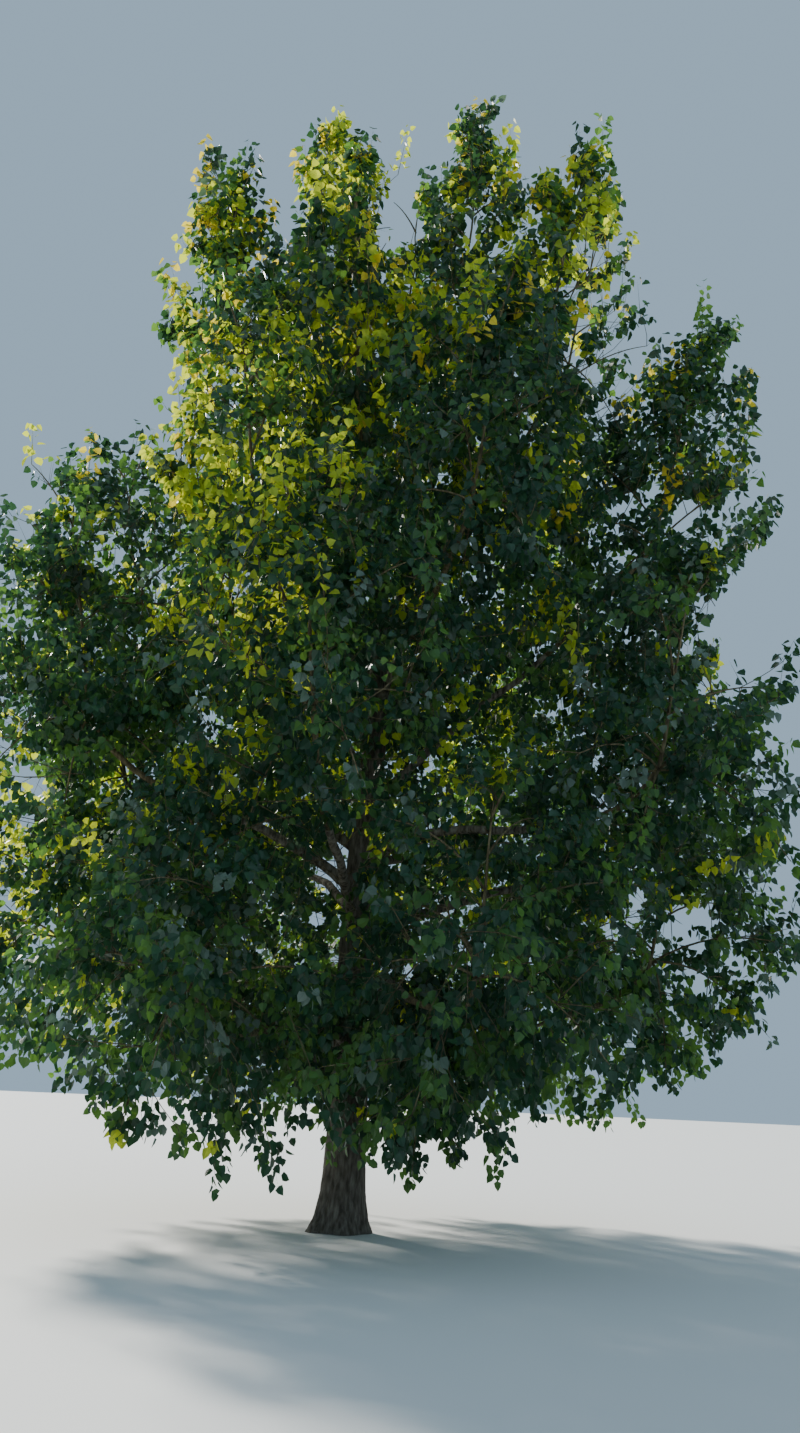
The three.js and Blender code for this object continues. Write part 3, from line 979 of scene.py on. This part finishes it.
@dataclass(frozen=True)
class PaintedSunlight:
    """Painted sunlight: how the leaves' dealt colour is made lighter towards the sun, to the left, to the
    back and upwards.

    leftward, backward and upward are the lengths over which the painted light grows by one.
    """

    level: float = 0.06
    leftward: float = 24.0
    backward: float = 12.0
    upward: float = 26.0
    middle: float = 8.5
    patchiness: float = 0.7

    def light(self, points: Array) -> Array:
        """Gives the painted light at points.

        Args:
            points: Points, one row each.

        Returns:
            Values of about 0 to 1.
        """
        x, y, z = points.T
        patch = ripple(points, 0.5, 1.3)
        light = self.level - x / self.leftward + np.maximum(y, 0) / self.backward
        return light + (z - self.middle) / self.upward + self.patchiness * patch


def inside_box(points: Array, room: float) -> Array:
    """Tells which points lie inside the model's box with some room on each side."""
    low, high = (np.array(corner) for corner in MODEL_BOX)
    return ((points > low - room) & (points < high + room)).all(axis=-1)


@dataclass
class Openings:
    """The gaps in the crown that show the sky or a limb, or let the sun in."""

    masses: list[FoliageMass]
    partings: tuple[Parting, ...] = (
        Parting((0.05, -7.5, 3.07), (-0.79, 7.5, 6.02), 0.29),
        Parting((0.60, -7.5, 2.44), (0.86, 7.5, 4.13), 0.13),
        Parting((0.11, -7.5, 2.49), (-0.60, 7.5, 4.27), 0.11),
        Parting((-0.04, -7.5, 2.78), (-1.05, 7.5, 5.13), 0.13),
    )
    # Patches of painted sunlight and painted shade in the leaves' colour; some also open real shafts
    # towards the sun.
    painted_light_patches: tuple[PaintedLightPatch, ...] = (
        PaintedLightPatch(-2.1, 9.0, 1.0, 2.2, 0.75, shafts=13), PaintedLightPatch(-1.15, 7.0, 0.7, 1.3, 0.75, shafts=6),
        PaintedLightPatch(-5.0, 4.3, 1.0, 1.4, 1.0, shafts=7), PaintedLightPatch(-3.9, 10.6, 1.0, 2.0, -0.4),
        PaintedLightPatch(2.9, 14.0, 0.9, 1.9, 0.7), PaintedLightPatch(-1.0, 16.5, 0.7, 1.3, 0.5),
        PaintedLightPatch(0.9, 12.6, 1.6, 2.2, 0.25),
        PaintedLightPatch(0.0, 2.6, 4.6, 1.3, -0.35), PaintedLightPatch(-2.6, 6.0, 1.6, 1.2, -0.45),
    )
    sky_patches: tuple[SkyPatch, ...] = (
        SkyPatch(3.65, 14.3, 0.75, 1.9, 16, 0.16), SkyPatch(0.12, 16.5, 0.3, 0.9, 6, 0.2),
        SkyPatch(-0.15, 15.6, 0.2, 0.8, 4, 0.12), SkyPatch(5.9, 8.9, 0.45, 0.5, 5, 0.28),
        SkyPatch(5.3, 8.3, 0.75, 0.8, 9, 0.13), SkyPatch(4.1, 4.0, 0.8, 0.45, 7, 0.12),
        SkyPatch(-0.21, 4.9, 0.12, 0.2, 2, 0.15), SkyPatch(-5.55, 10.3, 0.35, 0.7, 4, 0.15),
        SkyPatch(-4.75, 5.6, 0.3, 0.5, 3, 0.12),
    )
    views: tuple[LimbView, ...] = (
        LimbView(TRUNK, 5.1, 7.6, 0.085), LimbView("mid_1", 1.1, 2.4, 0.1),
        LimbView("mid_7", 1.3, 2.6, 0.12), LimbView("low_1", 2.6, 3.4, 0.07),
        LimbView("mid_5", 0.8, 1.7, 0.1),
    )

    def __post_init__(self) -> None:
        """Gathers all the gaps."""
        self.gaps = list(self.partings)
        for view in self.views:
            self.gaps += view.partings(self.masses)
        for patch in self.painted_light_patches + self.sky_patches:
            self.gaps += patch.partings()

    def clear(self, points: Array) -> Array:
        """Tells which points lie outside every gap."""
        return np.logical_and.reduce([gap.clears(points) for gap in self.gaps])


@dataclass(frozen=True)
class Skirt:
    """The lower edge of the crown, which rises outwards from each mass's middle."""

    lowest: float = 0.95
    drop: float = 0.1
    rise: float = 1.25
    ease: float = 0.2
    depth: float = 0.35

    def floor_at(self, mass: FoliageMass, points: Array) -> Array:
        """Gives the height of a mass's skirt at points; it rises outwards."""
        beyond = np.hypot(points[:, 0], points[:, 1]) - mass.reach - self.ease
        return max(self.lowest, mass.base - self.drop) + self.rise * np.maximum(0, beyond)

    def lift_clear(self, mass: FoliageMass, points: Array) -> None:
        """Lifts the ends of a mass's twigs to just above its skirt, where they lie below it."""
        edge = self.floor_at(mass, points) + self.depth * mass.rng.random(len(points))
        points[:, 2] = np.maximum(points[:, 2], edge)


@dataclass
class Twigs:
    """The main twigs of each mass, and the finer ones on them, on its bough and up the trunk.

    twig_outermost is how far out in a mass its twigs end, and twig_depth how much deeper they may.
    """

    masses: list[FoliageMass]
    openings: Openings
    skirt: Skirt
    places: int = 11
    place_span: float = 1.02
    place_sway: float = 0.5
    place_share: float = 0.93
    limb_stations: int = 9
    limb_sides: int = 5
    limb_radius: float = 0.017
    limb_taper: float = 0.32
    twig_stations: int = 4
    twig_sides: int = 3
    twig_radii: Pair = (0.0075, 0.004)
    twigs_per_area: float = 2.3
    twig_least: float = 0.14
    crown_share: float = 0.92
    twig_outermost: float = 0.95
    twig_depth: float = 0.66
    peak_start: float = 0.25
    peak_narrowing: float = 0.6
    bough_twig_spacing: float = 0.2
    bough_twig_start: float = 0.16
    bough_twig_length: Pair = (0.5, 1.3)
    skirt_crowding: float = 0.45
    trunk_twig_spacing: float = 0.12
    trunk_twig_heights: Pair = (1.85, 16.4)
    trunk_twig_length: Pair = (0.5, 1.1)

    def limbs(self, mass: FoliageMass) -> Array:
        """Gives the main twigs of a mass, at the model's places.

        A twig that ends in a gap is cut back to just beyond its last part that stands outside.

        Args:
            mass: The mass.

        Returns:
            Lines of nine stations.
        """
        feet, turns, ends = [], [], []
        for i in range(self.places):
            stream = Stream(SEED + SEEDS_PER_MASS * mass.index + i)
            t = self.place_span - 2 * self.place_span * (i + 0.5) / self.places
            turn = i * GOLDEN_TURN + (stream.draw() - 0.5) * self.place_sway
            foot = mass.inner(max(mass.heart, min(mass.stem_top - 0.06, t - 0.3)), 0, 0)[0]
            place = mass.inner(t, turn, 1)[0]
            end = foot + (place - foot) * self.place_share
            span = np.linalg.norm(end - foot)
            rise = mass.axis * (0.22 if t > -0.3 else 0.3) * span
            feet.append(foot)
            turns.append(foot + (end - foot) * 0.45 + rise)
            ends.append(end)
        lines = bezier(np.array(feet), np.array(turns), np.array(ends), self.limb_stations)
        tip = self.limb_stations - 1
        last = tip - np.argmax(self.openings.clear(lines)[:, ::-1], axis=1)
        share = np.minimum(last + 1, tip)[:, None] / tip * np.linspace(0, 1, self.limb_stations)
        return points_on(lines, np.arange(len(lines))[:, None], share)

    def anchors(self, mass: FoliageMass) -> Array:
        """Spreads the ends of the finer twigs evenly through the outer part of a mass.

        Args:
            mass: The mass.

        Returns:
            Points that lie nearer to this mass than to any other.
        """
        rng = mass.rng
        wide, tall = mass.tier.width * self.crown_share, mass.half
        area = 4 * math.pi * (wide * wide + 2 * wide * tall) / 3
        count = int(area * self.twigs_per_area / mass.tier.leaf_scale)
        lift = 1 - 2 * (np.arange(count) + 0.5) / count
        turn = np.arange(count) * GOLDEN_TURN + rng.uniform(0, 2 * math.pi)
        reach = self.twig_outermost - self.twig_depth * rng.random(count) ** 1.5
        t = np.clip(lift + rng.normal(0, 0.04, count), -1, 1) * reach
        share = reach * np.sqrt(np.maximum(0, 1 - lift**2)) / np.sqrt(np.maximum(1e-6, 1 - t * t))
        share *= 1 - self.peak_narrowing * np.clip(t - self.peak_start, 0, 1)
        points = mass.inner(t, turn + rng.normal(0, 0.12, count), share)
        points -= np.outer(mass.tier.hang * np.clip(-t, 0, 1) * (0.4 + share * np.sqrt(1 - t * t)), UP)
        own = mass.depth(points)
        others = [other.depth(points) for other in self.masses if other is not mass]
        self.skirt.lift_clear(mass, points)
        return points[np.min(others, axis=0) > own - 0.02]

    def fine(self, mass: FoliageMass, ends: Array, limbs: Array, stem: Array) -> Array:
        """Joins each twig's end to the nearest limb below it by a curved line.

        Args:
            mass: The mass.
            ends: The ends of the twigs.
            limbs: The mass's main twigs.
            stem: The points of its stem.

        Returns:
            Lines of four stations.
        """
        holds = np.concatenate([limbs[:, 1:].reshape(-1, 3), stem])
        holds = holds[self.openings.clear(holds)]
        outward = unit(ends - mass.centre)
        wish = unit(outward * 0.6 + UP * mass.tier.lift)
        gap = ends[:, None] - holds[None]
        far = np.linalg.norm(gap, axis=2)
        along = np.einsum("ijk,ik->ij", gap, wish) / np.maximum(far, 1e-6)
        cost = far * (1 + 1.1 * (1 - along)) + 10 * (far < self.twig_least)
        starts = holds[np.argmin(cost, axis=1)]
        reach = ends - starts
        span = np.linalg.norm(reach, axis=1, keepdims=True)
        sag = UP * (mass.tier.lift * -0.16 + 0.1)
        stray = mass.rng.normal(0, 0.05, reach.shape)
        bend = starts + reach * 0.55 + (sag + outward * 0.1 + stray) * span
        return bezier(starts, bend, ends, self.twig_stations)

    def bough_twigs(self, mass: FoliageMass) -> Array:
        """Grows twigs along the bare part of a bough, hanging in the lowest tier.

        Args:
            mass: The mass that the bough carries.

        Returns:
            Lines of four stations.
        """
        rng = mass.rng
        hanging = mass.tier.hang > 0
        spacing = self.bough_twig_spacing * (self.skirt_crowding if hanging else 1)
        count = max(0, int(mass.entry / spacing))
        line, _ = mass.stretch(mass.entry * self.bough_twig_start, mass.entry, max(count, 2))
        starts = line[:count]
        turn = (np.arange(count) * GOLDEN_TURN + rng.normal(0, 0.3, count))[:, None]
        around = mass.side * np.cos(turn) + UP * np.sin(turn) * 0.8
        drop = rng.uniform(-0.9, 0.1, (count, 1)) if hanging else rng.uniform(0.1, 0.8, (count, 1))
        aim = unit(around + mass.out * 0.35 + UP * drop)
        ends = starts + aim * rng.uniform(*self.bough_twig_length, (count, 1))
        self.skirt.lift_clear(mass, ends)
        bend = (starts + ends) / 2 + (UP * 0.12 + rng.normal(0, 0.04, ends.shape))
        return bezier(starts, bend, ends, self.twig_stations)

    def trunk_twigs(self, mass: FoliageMass) -> Array:
        """Grows short twigs up the trunk.

        Args:
            mass: The mass that sits on the trunk.

        Returns:
            Lines of four stations.
        """
        trunk, rng = mass.trunk, mass.rng
        heights = np.arange(*self.trunk_twig_heights, self.trunk_twig_spacing)
        turn = np.arange(len(heights)) * GOLDEN_TURN + 0.7
        out = np.stack([np.cos(turn), np.sin(turn), np.zeros_like(turn)], 1)
        starts = trunk.centre(heights) + out * (trunk.radius_at(heights, turn) * 0.9)[:, None]
        length = rng.uniform(*self.trunk_twig_length, (len(heights), 1))
        rise = np.clip((heights - 3.2) / 5, -0.45, 0.9)[:, None]
        ends = starts + unit(out + UP * rise) * length
        bend = (starts + ends) / 2 + rng.normal(0, 0.05, ends.shape)
        return bezier(starts, bend, ends, self.twig_stations)

    def all_fine(self, mass: FoliageMass, limbs: Array, stem: Array) -> Array:
        """Grows all the finer twigs of a mass.

        Args:
            mass: The mass.
            limbs: Its main twigs.
            stem: The points of its stem.

        Returns:
            Lines of four stations.
        """
        made = [self.fine(mass, self.anchors(mass), limbs, stem), self.bough_twigs(mass)]
        if mass.tier.clothes_trunk:
            made.append(self.trunk_twigs(mass))
        return np.concatenate(made)

    def trimmed(self, twigs: Array, last: Array) -> Array:
        """Cuts each twig back to its last shoot, last being that shoot's place, and drops bare ones."""
        bearing = np.flatnonzero(last)[:, None]
        return points_on(twigs, bearing, last[bearing] * np.linspace(0, 1, self.twig_stations))

    def skin(self, limbs: Array, fine: Array, wood: MeshBuffer) -> None:
        """Skins main and finer twigs.

        Args:
            limbs: The main twigs.
            fine: The finer twigs.
            wood: Takes their meshes.
        """
        thin = self.limb_radius * np.linspace(1, self.limb_taper, self.limb_stations)
        wood.add(*tubes(limbs, thin, self.limb_sides))
        wood.add(*tubes(fine, np.linspace(*self.twig_radii, self.twig_stations), self.twig_sides))


@dataclass
class Shoots:
    """The leafy shoots along the twigs, with a few long leaders at the tops.

    span is the share of a twig that bears shoots. limits are how deep in its mass a leader, a twig's first
    shoot and the others may end; what reaches further is shortened by cut, as often as cuts.
    """

    openings: Openings
    skirt: Skirt
    per_twig: int = 5
    span: float = 0.7
    radius: float = 0.0026
    stoutness: float = 0.0042
    length: Pair = (0.3, 0.56)
    room: float = 0.12
    limits: Vec3 = (1.2, 1.01, 0.97)
    cut: float = 0.8
    cuts: int = 5
    leader_share: float = 0.34
    leader_length: Pair = (0.7, 1.25)

    def grow(self, mass: FoliageMass, twigs: Array) -> tuple[Array, Array]:
        """Grows leafy shoots along the twigs.

        Args:
            mass: The mass.
            twigs: The twigs that bear them.

        Returns:
            Both ends of each shoot, and how far along each twig its last shoot stands.
        """
        rng = mass.rng
        count = len(twigs) * self.per_twig
        which = np.repeat(np.arange(len(twigs)), self.per_twig)
        order = np.tile(np.arange(self.per_twig), len(twigs))
        at = 1 - order * self.span / self.per_twig
        starts = points_on(twigs, which, at)
        along = unit(twigs[which, 3] - twigs[which, 2])
        outward = unit(starts - mass.centre + mass.axis * 0.2)
        height = ((starts - mass.centre) @ mass.axis / mass.half)[:, None]
        lift = mass.tier.lift * np.clip(0.8 + 0.5 * height, 0.1, 1.3)
        lift -= 0.3 * mass.tier.hang * np.clip(-height, 0, 1)
        stray = square_to(rng.normal(0, 1, (count, 3)), along)
        leads = (order == 0)[:, None]
        aim = unit(along * np.where(leads, 0.6, 0.3) + outward * np.where(leads, 0.25, 0.4)
                   + UP * lift + stray * np.where(leads, 0.15, 0.8))
        length = rng.uniform(*self.length, count)[:, None] * (1 + 0.3 * np.clip(height, 0, 1))
        length *= np.where(leads, 1 + 0.5 * mass.tier.lift, 0.85)
        leaders = leads[:, 0] & (height[:, 0] > 0.1) & (rng.random(count) < self.leader_share)
        aim[leaders] = unit(aim[leaders] * 0.4 + UP)
        length[leaders] = rng.uniform(*self.leader_length, (leaders.sum(), 1))
        limit = np.where(leads[:, 0], self.limits[1], self.limits[2])
        limit = np.where(leaders, self.limits[0], limit)
        for _ in range(self.cuts):
            tips = starts + aim * length
            length[(mass.depth(tips) > limit) & (mass.depth(starts) < 1)] *= self.cut
            low = tips[:, 2] < self.skirt.floor_at(mass, tips) - self.skirt.depth
            length[~inside_box(tips, self.room) | low] *= self.cut
        grown = np.stack([starts, starts + aim * length], 1)
        kept = self.openings.clear(grown).all(axis=1)
        last = np.zeros(len(twigs))
        np.maximum.at(last, which[kept], at[kept])
        return grown[kept], last

    def skin(self, shoots: Array, spans: Array, wood: MeshBuffer) -> None:
        """Skins the shoots, stouter the longer their spans are."""
        wood.add(*spikes(shoots, self.radius + self.stoutness * spans))


@dataclass
class Leaves:
    """The leaves along the shoots, and the colours dealt out to them.

    start and reach are where along a shoot its leaves begin, and over how much of it they stand.
    """

    openings: Openings
    spacing: float = 0.042
    counts: tuple[int, int] = (5, 22)
    start: float = 0.06
    reach: float = 0.94
    turn: float = 2.4
    length: Pair = (0.1, 0.15)
    fold: Pair = (0.15, 1.0)
    room: float = 0.26
    leader_leaves: float = 0.9
    leader_span: float = 0.7
    shape: LeafShape = field(default_factory=LeafShape)
    painted_sunlight: PaintedSunlight = PaintedSunlight()

    def tones(self, mass: FoliageMass, tip: Array) -> Array:
        """Deals out the leaf colours by spray: painted sunlight towards the top, the left, the back, the
        outside and the painted light patches, painted shade elsewhere, and gold towards the top.

        Args:
            mass: The mass.
            tip: The tips of its shoots.

        Returns:
            The number of a tone for each shoot.
        """
        # Painted light: how far a spray is dealt the light painted-sunlight colour rather than the darker
        # painted-shade one, from the sun's side, the painted light patches and the outside of the mass.
        painted_sun_share = self.painted_sunlight.light(tip)
        painted_sun_share += sum(place.light(tip) for place in self.openings.painted_light_patches)
        painted_sun_share = np.clip(painted_sun_share, 0, 1) * np.clip(mass.depth(tip) * 1.3 - 0.2, 0, 1)
        high = np.clip((tip[:, 2] - 11) / 7, 0, 1) * np.clip(mass.depth(tip), 0, 1)
        upper = tip[:, 2] > self.painted_sunlight.middle
        # The far side gets less painted shade and more plain green.
        far = np.clip(tip[:, 1] / 4, 0, 1)
        # The shade share is painted shade and the bright share painted sunlight; gold is a real autumn
        # tint at the top, with a little more where painted sunlight falls.
        share = {
            Tone.PAINTED_SHADE: 0.62 * (1 - painted_sun_share) * (1 - 0.55 * far) + 0.02,
            Tone.GREEN: 0.34 - 0.14 * painted_sun_share + 0.25 * far,
            Tone.PAINTED_SUN: 0.015 + 0.8 * painted_sun_share,
            Tone.GOLD: np.where(upper, 0.05 * painted_sun_share, 0) + 0.2 * high**1.2,
            Tone.PALE: np.full(len(tip), 0.08),
        }
        weights = np.stack([share[tone] for tone in Tone], 1)
        edges = np.cumsum(weights / weights.sum(1, keepdims=True), axis=1)
        return (mass.rng.random(len(tip))[:, None] > edges[:, :-1]).sum(1)

    def hang(self, mass: FoliageMass, shoots: Array, spans: Array) -> tuple[dict[str, Array], Array]:
        """Hangs leaves along the shoots on long stalks.

        Args:
            mass: The mass.
            shoots: Its shoots.
            spans: Their lengths.

        Returns:
            What the leaf's shape is built from, by name, and the number of each leaf's shoot.
        """
        rng = mass.rng
        scale = mass.tier.leaf_scale
        airy = np.where(spans > self.leader_span, self.leader_leaves, 1.0)
        counts = np.rint(spans * airy / self.spacing / scale)
        counts = np.clip(counts, *self.counts).astype(int)
        which = np.repeat(np.arange(len(shoots)), counts)
        total = len(which)
        order = np.arange(total) - np.repeat(np.cumsum(counts) - counts, counts)
        step = order + rng.uniform(0, 0.8, total)
        at = (self.start + self.reach * step / counts[which])[:, None]
        foot, end = shoots[which, 0], shoots[which, 1]
        root = foot + (end - foot) * at
        along = unit(end - foot)
        ring = square_to(np.broadcast_to(np.array([0.31, 0.17, 0.93]), along.shape), along)
        turn = (order * self.turn + rng.uniform(0, 0.9, total) + which)[:, None]
        side = ring * np.cos(turn) + np.cross(along, ring) * np.sin(turn)
        length = rng.uniform(*self.length, total) * (1.08 - 0.25 * at[:, 0]) * scale
        stalk = unit(side + along * 0.45 - UP * 0.15)
        base = root + stalk * (length * self.shape.stalk)[:, None]
        outward = unit(root - mass.centre)
        fall = rng.uniform(0.35, 1.15, (total, 1))
        midrib = unit(stalk * 0.5 + outward * 0.22 - UP * fall + rng.normal(0, 0.3, (total, 3)))
        facing = square_to(outward * 0.7 + UP * 0.45 + rng.normal(0, 0.65, (total, 3)), midrib)
        fold = rng.uniform(*self.fold, total)
        grown = {"base": base, "along": midrib, "facing": facing, "length": length,
                 "root": root, "fold": fold}
        tip = base + midrib * length[:, None]
        keep = self.openings.clear(base) & inside_box(tip, self.room) & inside_box(base, self.room)
        return {name: values[keep] for name, values in grown.items()}, which[keep]


@dataclass
class Foliage:
    """The masses' stems, twigs, shoots and leaves, grown on from the boughs."""

    masses: list[FoliageMass]
    stem_stations: int = 14
    stem_sides: int = 8

    def __post_init__(self) -> None:
        """Sets up the openings, the skirt and what grows round them."""
        openings, skirt = Openings(self.masses), Skirt()
        self.twigs = Twigs(self.masses, openings, skirt)
        self.shoots = Shoots(openings, skirt)
        self.leaves = Leaves(openings)

    def grow(self, mass: FoliageMass, wood: MeshBuffer, blades: dict[Tone, MeshBuffer]) -> None:
        """Grows one mass, from its stem to its leaves.

        Args:
            mass: The mass.
            wood: Takes its stem, twigs and shoots.
            blades: Take its leaves, by tone.
        """
        stem, stem_radii = mass.stretch(mass.entry, mass.lengths[-1], self.stem_stations)
        limbs = self.twigs.limbs(mass)
        fine = self.twigs.all_fine(mass, limbs, stem)
        shoots, last = self.shoots.grow(mass, np.concatenate([fine, limbs[:, 2::2]]))
        spans = np.linalg.norm(shoots[:, 1] - shoots[:, 0], axis=1)
        wood.add(*tubes(stem[None], stem_radii[None], self.stem_sides))
        self.twigs.skin(limbs, self.twigs.trimmed(fine, last[:len(fine)]), wood)
        self.shoots.skin(shoots, spans, wood)
        dealt = self.leaves.tones(mass, shoots[:, 1])
        leaves, which = self.leaves.hang(mass, shoots, spans)
        for k, buffer in enumerate(blades.values()):
            chosen = dealt[which] == k
            if chosen.any():
                picked = {name: values[chosen] for name, values in leaves.items()}
                buffer.add(*self.leaves.shape.build(**picked))

    def build(self) -> list[bpy.types.Object]:
        """Makes the pieces of every tier: its twigs, and its leaves by tone.

        Returns:
            The pieces.
        """
        made = []
        for tier in TIERS:
            group = [mass for mass in self.masses if mass.tier is tier]
            nodes = ["foliage_" + mass.name for mass in group]
            wood = MeshBuffer()
            blades = {tone: MeshBuffer() for tone in Tone}
            for mass in group:
                self.grow(mass, wood, blades)
            made.append(wood.piece("twigs_" + tier.name, TWIG_BARK, nodes))
            for tone, buffer in blades.items():
                # Each tone's leaves make one piece; the shade and bright pieces carry painted shade and
                # painted sunlight.
                name = f"leaves_{tier.name}_{tone.value}"
                if buffer.count:
                    made.append(buffer.piece(name, LEAF_FINISHES[tone], nodes))
        return made


@dataclass(frozen=True)
class Lamp:
    """A soft distant light, standing toward a place seen from the tree, softness degrees wide."""

    name: str
    toward: Vec3
    strength: float
    softness: float
    colour: Colour

    def build(self) -> None:
        """Hangs the light."""
        data = bpy.data.lights.new(self.name, "SUN")
        data.energy = self.strength
        data.angle = math.radians(self.softness)
        data.color = self.colour
        made = bpy.data.objects.new(self.name, data)
        made.rotation_euler = Vector(self.toward).to_track_quat("Z", "Y").to_euler()
        bpy.context.scene.collection.objects.link(made)


@dataclass
class Studio:
    """The plain pale floor, the soft lights and the camera."""

    floor_radius: float = 220.0
    floor_corners: int = 96
    floor_drop: float = 0.002
    camera_place: Vec3 = VIEWPOINT
    camera_pitch: float = 19.5
    camera_roll: float = 2.5
    focal_pixels: float = 1080.0
    long_side_pixels: float = 1433.0
    sensor: float = 36.0
    farthest: float = 1000.0
    sky: Colour = (0.55, 0.78, 1.0)
    sky_strength: float = 0.6
    lamps: tuple[Lamp, ...] = (
        Lamp("key", SUNWARD, 8.0, 5, (1.0, 0.96, 0.88)),
        Lamp("fill", (0.45, -0.8, 0.5), 0.5, 60, (0.72, 0.9, 1.0)),
    )

    def floor(self) -> None:
        """Lays the floor, which isn't part of the tree."""
        turns = np.linspace(0, 2 * math.pi, self.floor_corners, endpoint=False)
        corners = [(self.floor_radius * math.cos(a), self.floor_radius * math.sin(a), -self.floor_drop)
                   for a in turns]
        mesh = bpy.data.meshes.new("floor")
        mesh.from_pydata(corners, [], [tuple(range(len(corners)))])
        mesh.materials.append(FloorFinish("floor_pale").material())
        made = bpy.data.objects.new("floor", mesh)
        bpy.context.scene.collection.objects.link(made)

    def sky_light(self) -> None:
        """Gives an even pale background that lights the tree softly from all round."""
        world = bpy.data.worlds.new("studio")
        world.use_nodes = True
        back = world.node_tree.nodes["Background"]
        back.inputs["Color"].default_value = (*self.sky, 1)
        back.inputs["Strength"].default_value = self.sky_strength
        bpy.context.scene.world = world

    def camera(self) -> None:
        """Sets the camera at the photograph's place, angle and view."""
        data = bpy.data.cameras.new("camera")
        data.sensor_width = self.sensor
        data.lens = self.focal_pixels / self.long_side_pixels * self.sensor
        data.clip_end = self.farthest
        made = bpy.data.objects.new("camera", data)
        tilt = Matrix.Rotation(math.radians(90 + self.camera_pitch), 4, "X")
        roll = Matrix.Rotation(math.radians(self.camera_roll), 4, "Z")
        made.matrix_world = Matrix.Translation(self.camera_place) @ tilt @ roll
        bpy.context.scene.collection.objects.link(made)
        bpy.context.scene.camera = made

    def build(self) -> None:
        """Sets up the floor, the lights and the camera."""
        self.floor()
        self.sky_light()
        for lamp in self.lamps:
            lamp.build()
        self.camera()


def crown(trunk: Trunk) -> list[FoliageMass]:
    """Lists the masses of the crown in the model's order, on the trunk that bears them."""
    places = [(tier, number) for tier in TIERS for number in range(1, len(tier.bearings) + 1)]
    return [FoliageMass(*place, index, trunk) for index, place in enumerate(places)]


def main() -> None:
    """Builds the tree and its studio in order."""
    logging.basicConfig(level=logging.INFO, format="%(name)s: %(message)s")
    trunk = Trunk()
    masses = crown(trunk)
    trunk.build()
    Boughs(masses).build()
    Foliage(masses).build()
    Studio().build()


if __name__ == "__main__":
    main()
